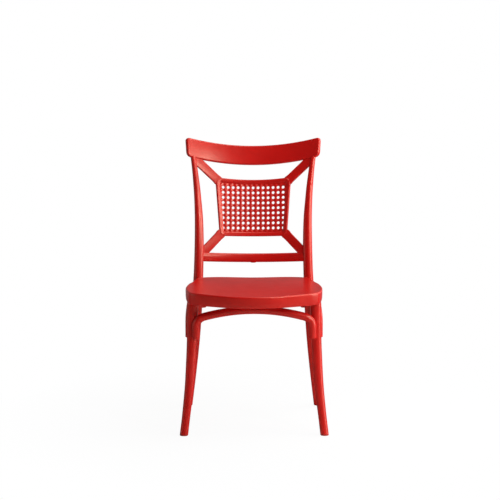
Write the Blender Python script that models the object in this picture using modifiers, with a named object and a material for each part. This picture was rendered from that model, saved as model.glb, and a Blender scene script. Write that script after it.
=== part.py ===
# A rigid dining chair in red moulded plastic, with an X back around a perforated panel.
# Metres, +Z up. The chair faces -Y, and X runs across it.
#
# The back is laid out flat first: x across, y through its thickness, z up along the posts.
# bent() then carries each point onto the curved and reclined back.
# Below the seat the back's surface is upright, so the rear legs use the same layout.

import math

import bmesh
import bpy
from mathutils import Vector

SEAT_HEIGHT = 0.4536  # floor to the seat's top, at the middle of its front
SEAT_WIDTH = 0.438
SEAT_DEPTH = 0.396
SEAT_FALL = 0.004  # how much lower the seat is at its rear
SEAT_DISH = 0.004  # how much higher its sides are than its middle
SEAT_SINK = 0.0006  # how much lower its face is than its rim
SKIRT_HEIGHT = 0.0371
SEAT_WALL = 0.004

BACK_RISE = 0.4321  # seat's top to the crest's top, at the middle
BACK_RADIUS = 0.5  # of the back's curve, seen from above
BACK_PLATE = 0.0102  # thickness of the X's arms

CREST_HEIGHT = 0.062
CREST_THICKNESS = 0.0155
CREST_HALF_SPAN = 0.2222
CREST_CURVE = 0.387  # rise of the crest towards its ends, per metre squared

PANEL_BASE = 0.1337  # seat's top to the panel's lower edge, at the middle
PANEL_HEIGHT = 0.1872
PANEL_HALF_WIDTH = 0.1188  # at mid height
PANEL_TAPER = 0.075  # how fast it widens upwards
PANEL_CORNER = 0.0165
PANEL_TOP_CURVE = 0.4
PANEL_BASE_CURVE = 0.09
RIM_WIDTH = 0.0145
RIM_THICKNESS = 0.012
RIM_CORNER = 0.005  # radius of the rim's inner corners
FIELD_THICKNESS = 0.004
HOLE_COLUMNS = 13
HOLE_ROWS = 9
HOLE_PITCH = 0.01667
HOLE_RADIUS = 0.0046

ARM_UPPER_WIDTH = 0.0275
ARM_LOWER_WIDTH = 0.0288

RAIL_BASE = 0.0465  # seat's top to the lower rail's underside, at the middle
RAIL_HEIGHT = 0.0296
RAIL_THICKNESS = 0.018
RAIL_CURVE = 0.13
RAIL_NUB = 0.002

POST_INSET = 0.037  # of a post's centre from the seat's side, at the seat
POST_SETBACK = 0.011  # of a post's centre from the seat's rear edge
FRONT_LEG_INSET = 0.0232
FRONT_LEG_SETBACK = 0.11

BRACE_RADIUS = 0.0128
BRACE_BEND = 0.034
BRACE_FALL = 0.029
FRONT_BRACE_DROP = 0.0187  # of its crown, below the seat
FRONT_BRACE_DEPTH = 0.1095  # of its feet, below the seat
SIDE_BRACE_DROP = 0.0225
SIDE_BRACE_DEPTH = 0.1145
REAR_BRACE_DROP = 0.0165
REAR_BRACE_DEPTH = 0.07

GLIDE_HEIGHT = 0.005
GLIDE_PEG_RADIUS = 0.005
GLIDE_PEG_LENGTH = 0.012

TENON_WIDTH = 0.008
TENON_THICKNESS = 0.0044
LEG_PEG_RADIUS = 0.011
LEG_PEG_LENGTH = 0.024
BRACE_PEG_RADIUS = 0.004
SCREW_RADIUS = 0.0021
SCREW_HEAD_RADIUS = 0.0042
SCREW_HEAD_HEIGHT = 0.0026
BOSS_RADIUS = 0.0155
PAD_DEPTH = 0.009
CLEARANCE = 0.0003  # between pieces that touch

SKIRT_BASE = SEAT_HEIGHT - SKIRT_HEIGHT
FRONT_BRACE_CROWN = SKIRT_BASE - FRONT_BRACE_DROP
FRONT_BRACE_FOOT = SKIRT_BASE - FRONT_BRACE_DEPTH
SIDE_BRACE_CROWN = SKIRT_BASE - SIDE_BRACE_DROP
SIDE_BRACE_FOOT = SKIRT_BASE - SIDE_BRACE_DEPTH
REAR_BRACE_CROWN = SKIRT_BASE - REAR_BRACE_DROP
REAR_BRACE_FOOT = SKIRT_BASE - REAR_BRACE_DEPTH
POST_X = SEAT_WIDTH / 2 - POST_INSET
POST_Y = SEAT_DEPTH / 2 - POST_SETBACK
FRONT_LEG_X = SEAT_WIDTH / 2 - FRONT_LEG_INSET
FRONT_LEG_Y = FRONT_LEG_SETBACK - SEAT_DEPTH / 2

# Level (0 floor, 1 seat, 2 crest), centre's offset outwards and backwards, width, depth.
POST_STATIONS = (
    (0.0, 0.0385, 0.071, 0.0265, 0.027),
    (0.277, 0.0235, 0.0397, 0.0275, 0.028),
    (0.529, 0.0126, 0.0162, 0.03, 0.03),
    (0.743, 0.006, 0.0031, 0.0314, 0.031),
    (0.885, 0.0028, -0.0006, 0.0313, 0.031),
    (1.018, -0.0002, 0.0005, 0.0294, 0.029),
    (1.11, -0.0015, 0.0041, 0.0289, 0.0275),
    (1.26, -0.0028, 0.0139, 0.0284, 0.025),
    (1.442, -0.0018, 0.0314, 0.0258, 0.0225),
    (1.589, 0.0021, 0.0486, 0.0219, 0.0205),
    (1.679, 0.0055, 0.0601, 0.0201, 0.0195),
    (1.796, 0.0113, 0.0757, 0.0174, 0.017),
    (1.888, 0.0167, 0.0881, 0.0166, 0.0157),
    (2.054, 0.026, 0.11, 0.0164, 0.0152),
)

# Share of the height up to the skirt, centre's offset outwards and forwards, width.
LEG_STATIONS = (
    (0.0, 0.0277, 0.059, 0.027),
    (0.12, 0.0217, 0.0492, 0.0266),
    (0.24, 0.0159, 0.0399, 0.0278),
    (0.36, 0.0107, 0.031, 0.0292),
    (0.481, 0.007, 0.0228, 0.0306),
    (0.721, 0.0022, 0.009, 0.032),
    (0.944, 0.0, 0.0, 0.0352),
    (1.0, -0.0004, -0.0016, 0.0358),
)

# Half of the seat's outline from front to rear: share of half the width, share of half
# the depth, and the number of steps to the next point.
SEAT_OUTLINE = (
    (0.0, -1.0, 2),
    (0.274, -0.966, 2),
    (0.511, -0.871, 2),
    (0.731, -0.762, 2),
    (0.87, -0.678, 2),
    (0.93, -0.618, 2),
    (0.958, -0.54, 2),
    (0.986, -0.36, 2),
    (1.0, -0.14, 2),
    (0.986, 0.08, 2),
    (0.96, 0.275, 2),
    (0.914, 0.47, 2),
    (0.895, 0.62, 2),
    (0.873, 0.748, 2),
    (0.826, 0.858, 2),
    (0.75, 0.945, 2),
    (0.65, 0.99, 3),
    (0.0, 1.0, 0),
)

for leftover in list(bpy.data.objects):
    bpy.data.objects.remove(leftover)

parts = bpy.data.collections.new("dining_chair")
bpy.context.scene.collection.children.link(parts)
cutters = bpy.data.collections.new("cutters")
cutters.hide_render = True
bpy.context.scene.collection.children.link(cutters)

origin = bpy.data.objects.new("chair_origin", None)
parts.objects.link(origin)


def smooth(stations, key, column):
    """One column of the stations at this key, on a smooth curve through them."""
    last = len(stations) - 1
    i = 0
    while i < last - 1 and key > stations[i + 1][0]:
        i += 1

    def slope(k):
        low = stations[max(k - 1, 0)]
        high = stations[min(k + 1, last)]
        return (high[column] - low[column]) / (high[0] - low[0])

    span = stations[i + 1][0] - stations[i][0]
    s = (key - stations[i][0]) / span
    rise = stations[i + 1][column] - stations[i][column]
    ease = 3 * s**2 - 2 * s**3
    start = (s**3 - 2 * s**2 + s) * span * slope(i)
    end = (s**3 - s**2) * span * slope(i + 1)
    return stations[i][column] + rise * ease + start + end


def level(z):
    if z < SEAT_HEIGHT:
        return z / SEAT_HEIGHT
    return 1 + (z - SEAT_HEIGHT) / BACK_RISE


def post_x(z):
    return POST_X + smooth(POST_STATIONS, level(z), 1)


def post_y(z):
    return POST_Y + smooth(POST_STATIONS, level(z), 2)


def lean(z):
    """How far the back reclines at this height. It is upright below the seat."""
    step = 0.002
    return max(0.0, math.atan((post_y(z + step) - post_y(z - step)) / (2 * step)))


def bent(x, y, z):
    """Where a point of the flat layout stands on the curved and reclined back."""
    turn = math.asin(x / BACK_RADIUS)
    across = math.sqrt(BACK_RADIUS**2 - post_x(z) ** 2)
    deep = (BACK_RADIUS + y) * math.cos(turn) - across
    angle = lean(z)
    return Vector(
        (
            (BACK_RADIUS + y) * math.sin(turn),
            post_y(z) + deep * math.cos(angle),
            z - deep * math.sin(angle),
        )
    )


def crest_top(x):
    return SEAT_HEIGHT + BACK_RISE + CREST_CURVE * x**2


def crest_base(x):
    return crest_top(x) - CREST_HEIGHT


def rail_base(x):
    nub = RAIL_NUB if abs(x) < 0.0085 else 0.0
    return SEAT_HEIGHT + RAIL_BASE + RAIL_CURVE * x**2 - nub


def rail_top(x):
    return SEAT_HEIGHT + RAIL_BASE + RAIL_HEIGHT + RAIL_CURVE * x**2


def plastic(name, colour, roughness):
    material = bpy.data.materials.new(name)
    material.use_nodes = True
    shader = material.node_tree.nodes["Principled BSDF"]
    shader.inputs["Base Color"].default_value = (*colour, 1)
    shader.inputs["Roughness"].default_value = roughness
    shader.inputs["Metallic"].default_value = 0
    material.diffuse_color = (*colour, 1)
    return material


RED = (0.62, 0.006, 0.005)
DEEP_RED = (0.5, 0.005, 0.005)
STEEL = (0.55, 0.55, 0.55)


def add(name, mesh, collection=parts):
    """An object that rides on the chair's origin."""
    made = bpy.data.objects.new(name, mesh)
    collection.objects.link(made)
    made.parent = origin
    if collection == cutters:
        made.display_type = "WIRE"
    return made


def finish(made, colour=RED, roughness=0.34, metallic=0.0):
    """Gives a piece its own material and smooth shading with real edges."""
    material = plastic(made.name, colour, roughness)
    material.node_tree.nodes["Principled BSDF"].inputs["Metallic"].default_value = metallic
    made.data.materials.clear()
    made.data.materials.append(material)
    made.data.shade_smooth()
    made.data.set_sharp_from_angle(angle=math.radians(40))


def loft(name, rings, around=False, collection=parts):
    """A closed solid through rings of points, or a closed ring of them."""
    work = bmesh.new()
    rows = [[work.verts.new(point) for point in ring] for ring in rings]
    pairs = list(zip(rows, rows[1:]))
    if around:
        pairs.append((rows[-1], rows[0]))
    for low, high in pairs:
        for i in range(len(low)):
            j = (i + 1) % len(low)
            work.faces.new((low[i], low[j], high[j], high[i]))
    if not around:
        work.faces.new(rows[0])
        work.faces.new(rows[-1])
    bmesh.ops.recalc_face_normals(work, faces=work.faces)
    if not around:
        bmesh.ops.triangulate(work, faces=work.faces)
    mesh = bpy.data.meshes.new(name)
    work.to_mesh(mesh)
    work.free()
    return add(name, mesh, collection)


def baked(made, other, operation):
    """Joins or cuts another object for good, and removes it."""
    modifier = made.modifiers.new(operation.lower(), "BOOLEAN")
    modifier.solver = "EXACT"
    modifier.operation = operation
    modifier.object = other
    bpy.context.view_layer.update()
    graph = bpy.context.evaluated_depsgraph_get()
    mesh = bpy.data.meshes.new_from_object(made.evaluated_get(graph))
    made.modifiers.clear()
    old = made.data
    made.data = mesh
    mesh.name = made.name
    bpy.data.meshes.remove(old)
    bpy.data.objects.remove(other)


def cut(made, cutter):
    """Cuts with a hidden helper, and keeps the cut editable."""
    modifier = made.modifiers.new("cut_" + cutter.name, "BOOLEAN")
    modifier.solver = "EXACT"
    modifier.operation = "DIFFERENCE"
    modifier.object = cutter


def bend_onto_back(made):
    for vertex in made.data.vertices:
        vertex.co = bent(*vertex.co)


def oval(half_x, half_y, sides, square):
    """A rounded section: square is 2 for an ellipse, and more for a boxier one."""
    points = []
    for i in range(sides):
        turn = 2 * math.pi * (i + 0.5) / sides
        a = math.copysign(abs(math.cos(turn)) ** (2 / square), math.cos(turn))
        b = math.copysign(abs(math.sin(turn)) ** (2 / square), math.sin(turn))
        points.append((half_x * a, half_y * b))
    return points


def rounded_box(half_y, half_z, radius, steps=2):
    """A rectangular section with rounded corners, around its own centre."""
    points = []
    for quarter, (sy, sz) in enumerate(((1, 1), (-1, 1), (-1, -1), (1, -1))):
        for k in range(steps + 1):
            turn = math.pi / 2 * (quarter + k / steps)
            y = sy * (half_y - radius) + radius * math.cos(turn)
            z = sz * (half_z - radius) + radius * math.sin(turn)
            points.append((y, z))
    return points


def pin(name, start, end, radius, sides=8, collection=cutters):
    """A straight round bar between two points."""
    start = Vector(start)
    end = Vector(end)
    frame = (end - start).to_track_quat("Z", "Y").to_matrix()
    rings = []
    for centre in (start, end):
        ring = []
        for i in range(sides):
            turn = 2 * math.pi * (i + 0.5) / sides
            spoke = Vector((radius * math.cos(turn), radius * math.sin(turn), 0))
            ring.append(centre + frame @ spoke)
        rings.append(ring)
    return loft(name, rings, collection=collection)


def joined(name, pieces):
    """One helper made of several separate bodies."""
    work = bmesh.new()
    for piece in pieces:
        work.from_mesh(piece.data)
        bpy.data.objects.remove(piece)
    mesh = bpy.data.meshes.new(name)
    work.to_mesh(mesh)
    work.free()
    return add(name, mesh, cutters)


def spread(start, end, steps):
    return [start + (end - start) * i / steps for i in range(steps + 1)]


# Rear posts: rear leg and back post in one.

POST_TOP_BLEND = 0.05


def post_end(x):
    return crest_base(x) - CLEARANCE


def heights_around(heights, low, high):
    """The rings of a piece that cover this range, so that a cut fits the same facets."""
    first = max([i for i, z in enumerate(heights) if z <= low], default=0)
    last = min([i for i, z in enumerate(heights) if z >= high], default=len(heights) - 1)
    return heights[first : last + 1]


POST_START = GLIDE_HEIGHT + CLEARANCE
POST_END = post_end(post_x(SEAT_HEIGHT + 0.88 * BACK_RISE))
POST_HEIGHTS = spread(POST_START, POST_END, round((POST_END - POST_START) / 0.036))


def post_body(name, side, grow=0.0, flare=0.0, low=0.0, high=9.0, collection=parts):
    """A post in the flat layout. flare pushes its outer side out, for trimming."""
    rings = []
    heights = heights_around(POST_HEIGHTS, low, high)
    if flare and high > POST_END:
        heights = heights + [POST_END + 0.03]
    for z in heights:
        width = smooth(POST_STATIONS, level(z), 3) / 2 + grow
        depth = smooth(POST_STATIONS, level(z), 4) / 2 + grow
        blend = max(0.0, min(1.0, 1 - (POST_END - z) / POST_TOP_BLEND))
        ring = []
        for a, b in oval(width, depth, 12, 2.3):
            x = post_x(z) + a
            lift = blend * (post_end(x) - post_end(post_x(z)))
            if a > 0:
                x += flare
            ring.append((side * x, b, z + lift))
        rings.append(ring)
    return loft(name, rings, collection=collection)


def crest_body(name, grow=0.0, raise_top=0.0, collection=parts):
    """The crest in the flat layout, with rounded ends."""
    top_corner = 0.0115
    base_corner = 0.014
    edge = 0.0045
    end = CREST_HALF_SPAN
    ends = [end - d for d in (0.014, 0.009, 0.0055, 0.003, 0.0012, 0.0003)]
    right = spread(0, end - 0.018, 9)[1:] + ends + [end]
    rings = []
    for x in [-x for x in reversed(right)] + [0.0] + right:
        left_over = end - abs(x)
        top = crest_top(x) + grow
        base = crest_base(x) - grow
        if left_over < top_corner:
            drop = top_corner - math.sqrt(top_corner**2 - (top_corner - left_over) ** 2)
            top -= drop
        if left_over < base_corner:
            drop = base_corner - math.sqrt(base_corner**2 - (base_corner - left_over) ** 2)
            base += drop
        thick = CREST_THICKNESS / 2 + grow
        if left_over < edge:
            thick -= edge - math.sqrt(edge**2 - (edge - left_over) ** 2)
        radius = min(edge, thick * 0.9)
        middle = (top + base) / 2
        slant = 0.07 * x / end
        ring = []
        for y, z in rounded_box(thick, (top - base) / 2, radius):
            lean_out = slant * (middle + z - crest_base(x) - 0.03)
            lift = raise_top if z > 0 else 0.0
            ring.append((x + lean_out, y, middle + z + lift))
        rings.append(ring)
    return loft(name, rings, collection=collection)


def rail_body(name, grow=0.0, sink_base=0.0, collection=parts):
    """The lower rail in the flat layout, long enough to reach inside both posts."""
    right = [0.007, 0.009] + spread(0.009, POST_X - 0.006, 8)[1:]
    rings = []
    for x in [-x for x in reversed(right)] + [0.0] + right:
        top = rail_top(x) + grow
        base = rail_base(x) - grow
        ring = []
        for y, z in oval(RAIL_THICKNESS / 2 + grow, (top - base) / 2, 12, 2.7):
            sink = sink_base if z < 0 else 0.0
            ring.append((x, y, (top + base) / 2 + z - sink))
        rings.append(ring)
    return loft(name, rings, collection=collection)


# The panel's outline, as (x, z) points in the flat layout.


def filleted(corners, radius, steps):
    """Rounds the corners whose flag is set, and keeps the other points."""
    points = []
    count = len(corners)
    for i, (x, z, soft) in enumerate(corners):
        here = Vector((x, z))
        if not soft:
            points.append(here)
            continue
        before = (Vector(corners[i - 1][:2]) - here).normalized()
        after = (Vector(corners[(i + 1) % count][:2]) - here).normalized()
        half = before.angle(after) / 2
        centre = here + (before + after).normalized() * (radius / math.sin(half))
        first = here + before * (radius / math.tan(half)) - centre
        last = here + after * (radius / math.tan(half)) - centre
        sweep = first.angle_signed(last)
        start = math.atan2(first.y, first.x)
        for k in range(steps + 1):
            turn = start - sweep * k / steps
            points.append(centre + radius * Vector((math.cos(turn), math.sin(turn))))
    return points


def panel_side(z):
    middle = SEAT_HEIGHT + PANEL_BASE + PANEL_HEIGHT / 2
    return PANEL_HALF_WIDTH + PANEL_TAPER * (z - middle)


def panel_top(x):
    return SEAT_HEIGHT + PANEL_BASE + PANEL_HEIGHT + PANEL_TOP_CURVE * x**2


def panel_base(x):
    return SEAT_HEIGHT + PANEL_BASE + PANEL_BASE_CURVE * x**2


def panel_corner(edge):
    """Where a side of the panel meets its top or base edge."""
    x = PANEL_HALF_WIDTH
    for _ in range(6):
        x = panel_side(edge(x))
    return x, edge(x)


def panel_corners():
    """The outline before its corners are rounded, anticlockwise from the lower right."""
    low_x, low_z = panel_corner(panel_base)
    high_x, high_z = panel_corner(panel_top)
    corners = [(low_x, low_z, True)]
    for z in spread(low_z, high_z, 6)[1:-1]:
        corners.append((panel_side(z), z, False))
    corners.append((high_x, high_z, True))
    for x in spread(high_x, -high_x, 10)[2:-2]:
        corners.append((x, panel_top(x), False))
    corners.append((-high_x, high_z, True))
    for z in spread(high_z, low_z, 6)[1:-1]:
        corners.append((-panel_side(z), z, False))
    corners.append((-low_x, low_z, True))
    for x in spread(-low_x, low_x, 10)[2:-2]:
        corners.append((x, panel_base(x), False))
    return corners


def inset_directions(points):
    """For each point, the step that moves it in by one unit of distance from both edges."""
    steps = []
    count = len(points)
    for i, here in enumerate(points):
        into = (here - points[i - 1]).normalized()
        out = (points[(i + 1) % count] - here).normalized()
        first = Vector((-into.y, into.x))
        second = Vector((-out.y, out.x))
        mean = (first + second).normalized()
        steps.append(mean / mean.dot(first))
    return steps


def panel_loop(inset, radius):
    """The panel's outline, inset and with rounded corners."""
    corners = panel_corners()
    steps = inset_directions([Vector(corner[:2]) for corner in corners])
    moved = []
    for (x, z, soft), step in zip(corners, steps):
        moved.append((x + step.x * inset, z + step.y * inset, soft))
    return filleted(moved, radius, 4)


PANEL_OUTER = panel_loop(0, PANEL_CORNER)
PANEL_INNER = panel_loop(RIM_WIDTH, RIM_CORNER)


def panel_prism(name, grow, half_thickness):
    """A solid block with the panel's outline, for trimming the arms."""
    rings = []
    for y in (-half_thickness, half_thickness):
        rings.append([(p.x, y, p.y) for p in panel_loop(-grow, PANEL_CORNER + grow)])
    return loft(name, rings, collection=cutters)


def panel_rim(name):
    half = RIM_THICKNESS / 2
    section = (
        (0.0, 0.54),
        (0.07, 0.8),
        (0.27, 1.0),
        (0.6, 0.83),
        (1.0, 0.42),
        (1.0, -0.42),
        (0.6, -0.83),
        (0.27, -1.0),
        (0.07, -0.8),
        (0.0, -0.54),
    )
    rings = []
    for outer, inner in zip(PANEL_OUTER, PANEL_INNER):
        ring = []
        for inward, y in section:
            edge = outer.lerp(inner, inward)
            ring.append((edge.x, y * half, edge.y))
        rings.append(ring)
    return loft(name, rings, around=True)


def panel_field(name):
    """The perforated plate inside the rim."""
    curve = bpy.data.curves.new(name, "CURVE")
    curve.dimensions = "2D"
    curve.fill_mode = "BOTH"
    curve.extrude = FIELD_THICKNESS / 2
    loops = []
    loops.append([a.lerp(b, 0.55) for a, b in zip(PANEL_OUTER, PANEL_INNER)])
    middle = SEAT_HEIGHT + PANEL_BASE + PANEL_HEIGHT * 0.5045
    for row in range(HOLE_ROWS):
        for column in range(HOLE_COLUMNS):
            x = (column - (HOLE_COLUMNS - 1) / 2) * HOLE_PITCH
            z = middle + (row - (HOLE_ROWS - 1) / 2) * HOLE_PITCH + 0.05 * x**2
            hole = []
            for k in range(8):
                turn = math.pi / 4 * k
                spoke = Vector((math.cos(turn), math.sin(turn)))
                hole.append(Vector((x, z)) + HOLE_RADIUS * spoke)
            loops.append(hole)
    for loop in loops:
        spline = curve.splines.new("POLY")
        spline.points.add(len(loop) - 1)
        for point, place in zip(spline.points, loop):
            point.co = (place.x, place.y, 0, 1)
        spline.use_cyclic_u = True
    made = add(name, curve)
    bpy.context.view_layer.update()
    graph = bpy.context.evaluated_depsgraph_get()
    mesh = bpy.data.meshes.new_from_object(made.evaluated_get(graph))
    bpy.data.objects.remove(made)
    work = bmesh.new()
    work.from_mesh(mesh)
    for vertex in work.verts:
        vertex.co = (vertex.co.x, -vertex.co.z, vertex.co.y)
    bmesh.ops.remove_doubles(work, verts=work.verts, dist=1e-6)
    bmesh.ops.recalc_face_normals(work, faces=work.faces)
    work.to_mesh(mesh)
    work.free()
    return add(name, mesh)


def bar(name, start, end, widths, thickness, edge, steps, grow=0.0, collection=parts):
    """A flat bar between two (x, z) points of the flat layout."""
    start = Vector(start)
    end = Vector(end)
    along = (end - start).normalized()
    across = Vector((-along.y, along.x))
    rings = []
    for share in spread(0, 1, steps):
        centre = start.lerp(end, share)
        half = (widths[0] + (widths[1] - widths[0]) * share) / 2 + grow
        ring = []
        for y, w in rounded_box(thickness / 2 + grow, half, edge, 1):
            place = centre + across * w
            ring.append((place.x, y, place.y))
        rings.append(ring)
    return loft(name, rings, collection=collection)


# The arms' ends: on the panel's corners and in the corners that the posts make with the
# crest and with the lower rail.

PANEL_HIGH = Vector(panel_corner(panel_top))
PANEL_LOW = Vector(panel_corner(panel_base))
UPPER_START = PANEL_HIGH + Vector((-0.011, -0.0121))
LOWER_START = PANEL_LOW + Vector((-0.005, 0.0081))
UPPER_Z = SEAT_HEIGHT + BACK_RISE * 0.871
UPPER_END = Vector((post_x(UPPER_Z) - 0.0048, UPPER_Z + 0.0072))
LOWER_Z = SEAT_HEIGHT + BACK_RISE * 0.164
LOWER_END = Vector((post_x(LOWER_Z) - 0.0069, LOWER_Z + 0.0011))


def tenon_line(start, end, shift):
    """The line of an arm's tenons, moved sideways, from in the rim to in the post."""
    along = (end - start).normalized()
    across = Vector((-along.y, along.x))
    return start + across * shift, end + across * shift, along


def arm_tenon(name, side, upper, grow=0.0):
    """One bar that shows as a tenon at both ends of an arm."""
    if upper:
        a, b, along = tenon_line(UPPER_START, UPPER_END, -0.007)
        a = a + along * 0.0006
        b = b - along * 0.0072
    else:
        a, b, along = tenon_line(LOWER_START, LOWER_END, 0.007)
        b = b + along * 0.003
    a = Vector((side * a.x, a.y)) - Vector((side * along.x, along.y)) * grow
    b = Vector((side * b.x, b.y)) + Vector((side * along.x, along.y)) * grow
    width = TENON_WIDTH
    return bar(name, a, b, (width, width), TENON_THICKNESS, 0.0006, 5, grow, cutters)


def turn_over(made):
    """Makes a right piece into a left one."""
    for vertex in made.data.vertices:
        vertex.co.x = -vertex.co.x
    made.data.flip_normals()


def arm(name, side, upper):
    """An arm, shaped on the right and turned over for the left."""
    start, end = (UPPER_START, UPPER_END) if upper else (LOWER_START, LOWER_END)
    along = (end - start).normalized()
    start = start - along * 0.012
    width = ARM_UPPER_WIDTH if upper else ARM_LOWER_WIDTH
    widths = (width * 0.985, width * 1.02) if upper else (width, width)
    made = bar(name, start, end, widths, BACK_PLATE, 0.0018, 7)
    baked(made, panel_prism("trim", CLEARANCE, 0.02), "DIFFERENCE")
    low = SEAT_HEIGHT
    high = SEAT_HEIGHT + BACK_RISE * 1.02
    baked(made, post_body("trim", 1, CLEARANCE, 0.05, low, high, cutters), "DIFFERENCE")
    if upper:
        baked(made, crest_body("trim", CLEARANCE, 0.04, cutters), "DIFFERENCE")
    else:
        baked(made, rail_body("trim", CLEARANCE, 0.04, cutters), "DIFFERENCE")
    baked(made, arm_tenon("tenon", 1, upper), "UNION")
    if side < 0:
        turn_over(made)
    return made


def rail_tenon(name, side, grow=0.0):
    inner = post_x(SEAT_HEIGHT + RAIL_BASE) - 0.025
    outer = inner + 0.019
    height = RAIL_BASE + RAIL_HEIGHT / 2 + RAIL_CURVE * POST_X**2 - 0.001
    z = SEAT_HEIGHT + height
    start = (side * inner, z)
    end = (side * (outer + grow), z)
    size = (TENON_WIDTH, TENON_WIDTH)
    return bar(name, start, end, size, TENON_WIDTH, 0.0006, 2, grow, cutters)


def crest_tenon(name, side, grow=0.0):
    z = SEAT_HEIGHT + 0.9 * BACK_RISE
    x = post_x(z)
    base = crest_base(x)
    start = (side * x, base - 0.012)
    end = (side * x, base + 0.014 + grow)
    return bar(name, start, end, (0.009, 0.009), 0.008, 0.0006, 2, grow, cutters)


def rear_post(name, side):
    """A post, shaped on the right and turned over for the left."""
    made = post_body(name, 1)
    baked(made, crest_tenon("tenon", 1), "UNION")
    baked(made, rail_tenon("socket", 1, CLEARANCE), "DIFFERENCE")
    baked(made, arm_tenon("socket", 1, True, CLEARANCE), "DIFFERENCE")
    baked(made, arm_tenon("socket", 1, False, CLEARANCE), "DIFFERENCE")
    if side < 0:
        turn_over(made)
    bend_onto_back(made)
    return made


posts = {1: rear_post("rear_post_right", 1), -1: rear_post("rear_post_left", -1)}

crest = crest_body("crest_rail")
for side in (1, -1):
    baked(crest, crest_tenon("socket", side, CLEARANCE), "DIFFERENCE")
bend_onto_back(crest)

rail = rail_body("lower_back_rail")
for side in (1, -1):
    low = SEAT_HEIGHT
    high = SEAT_HEIGHT + 0.25 * BACK_RISE
    baked(rail, post_body("trim", side, CLEARANCE, 0.05, low, high, cutters), "DIFFERENCE")
    baked(rail, rail_tenon("tenon", side), "UNION")
bend_onto_back(rail)

panel = panel_rim("cane_back_panel")
baked(panel, panel_field("field"), "UNION")
arms = []
for side, hand in ((1, "right"), (-1, "left")):
    for upper, place in ((True, "upper"), (False, "lower")):
        arms.append(arm("back_arm_" + place + "_" + hand, side, upper))
        baked(panel, arm_tenon("socket", side, upper, CLEARANCE), "DIFFERENCE")
bend_onto_back(panel)
for made in arms:
    bend_onto_back(made)


# The seat: rings around its outline, over the top and back under it.


def seat_outline():
    """Outline of the whole seat, with each point's outward direction."""
    right = []
    for i, (x, y, steps) in enumerate(SEAT_OUTLINE[:-1]):
        previous = SEAT_OUTLINE[i - 1] if i else (-SEAT_OUTLINE[1][0], SEAT_OUTLINE[1][1])
        following = SEAT_OUTLINE[i + 1]
        if i + 2 < len(SEAT_OUTLINE):
            beyond = SEAT_OUTLINE[i + 2]
        else:
            beyond = (-x, y)
        p0 = Vector(previous[:2])
        p1 = Vector((x, y))
        p2 = Vector(following[:2])
        p3 = Vector(beyond[:2])
        gap0 = max((p1 - p0).length, 1e-6)
        gap1 = (p2 - p1).length
        gap2 = max((p3 - p2).length, 1e-6)
        slope1 = ((p1 - p0) / gap0 * gap1 + (p2 - p1) / gap1 * gap0) / (gap0 + gap1)
        slope2 = ((p2 - p1) / gap1 * gap2 + (p3 - p2) / gap2 * gap1) / (gap1 + gap2)
        for k in range(steps):
            s = k / steps
            point = p1 * (2 * s**3 - 3 * s**2 + 1) + p2 * (3 * s**2 - 2 * s**3)
            point += slope1 * gap1 * (s**3 - 2 * s**2 + s)
            point += slope2 * gap1 * (s**3 - s**2)
            right.append(point)
    half = (SEAT_WIDTH / 2, SEAT_DEPTH / 2)
    points = [Vector((p.x * half[0], p.y * half[1])) for p in right]
    points.append(Vector((0, half[1])))
    points += [Vector((-p.x, p.y)) for p in reversed(points[1:-1])]
    return points


SEAT_POINTS = seat_outline()
SEAT_STEPS = inset_directions(SEAT_POINTS)


def seat_top(x, y):
    back_share = y / SEAT_DEPTH + 0.5
    side_share = x / (SEAT_WIDTH / 2)
    return SEAT_HEIGHT - SEAT_FALL * back_share + SEAT_DISH * side_share**2


def seat_ring(inset, drop, scale=1.0, flat=None):
    """A ring inset from the outline, a drop below the top, or at one flat height."""
    ring = []
    for point, step in zip(SEAT_POINTS, SEAT_STEPS):
        place = (point + step * inset) * scale
        z = seat_top(place.x, place.y) - drop if flat is None else flat
        ring.append((place.x, place.y, z))
    return ring


def seat_mix(inset, share):
    """A ring part of the way from the skirt's base to the seat's top."""
    ring = []
    for point, step in zip(SEAT_POINTS, SEAT_STEPS):
        place = point + step * inset
        z = SKIRT_BASE + (seat_top(place.x, place.y) - SKIRT_BASE) * share
        ring.append((place.x, place.y, z))
    return ring


wall = SEAT_WALL
deck_drop = SEAT_WALL + SEAT_SINK
seat_rings = [
    seat_ring(0.0, deck_drop, 0.2),
    seat_ring(wall + 0.0115, deck_drop),
    seat_ring(wall + 0.0035, wall + 0.004),
    seat_mix(wall + 0.0003, 0.6),
    seat_mix(wall + 0.0012, 0.3),
    seat_ring(wall + 0.0028, 0, flat=SKIRT_BASE),
    seat_ring(0.003, 0, flat=SKIRT_BASE),
    seat_mix(0.0018, 0.06),
    seat_mix(0.0004, 0.3),
    seat_mix(0.0, 0.6),
    seat_ring(0.0002, 0.0045),
    seat_ring(0.001, 0.0022),
    seat_ring(0.0026, 0.0008),
    seat_ring(0.005, 0.0),
    seat_ring(0.0145, SEAT_SINK),
    seat_ring(0.0, SEAT_SINK, 0.6),
    seat_ring(0.0, SEAT_SINK, 0.2),
]
seat = loft("seat", seat_rings)


def leg_share(z):
    return z / SKIRT_BASE


def leg_centre(z, side=1):
    x = FRONT_LEG_X + smooth(LEG_STATIONS, leg_share(z), 1)
    y = FRONT_LEG_Y - smooth(LEG_STATIONS, leg_share(z), 2)
    return Vector((side * x, y, z))


def post_centre(z, side=1):
    return Vector((side * post_x(z), post_y(z), z))


def inner_corner(side):
    """Where a post stands against the seat's rear corner, and the way out to it."""
    post = post_centre(SKIRT_BASE + SKIRT_HEIGHT / 2, side)
    near = min(SEAT_POINTS, key=lambda p: (Vector((p.x, p.y)) - post.xy).length)
    out = (post.xy - near).normalized()
    return near, out


screws = []


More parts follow.
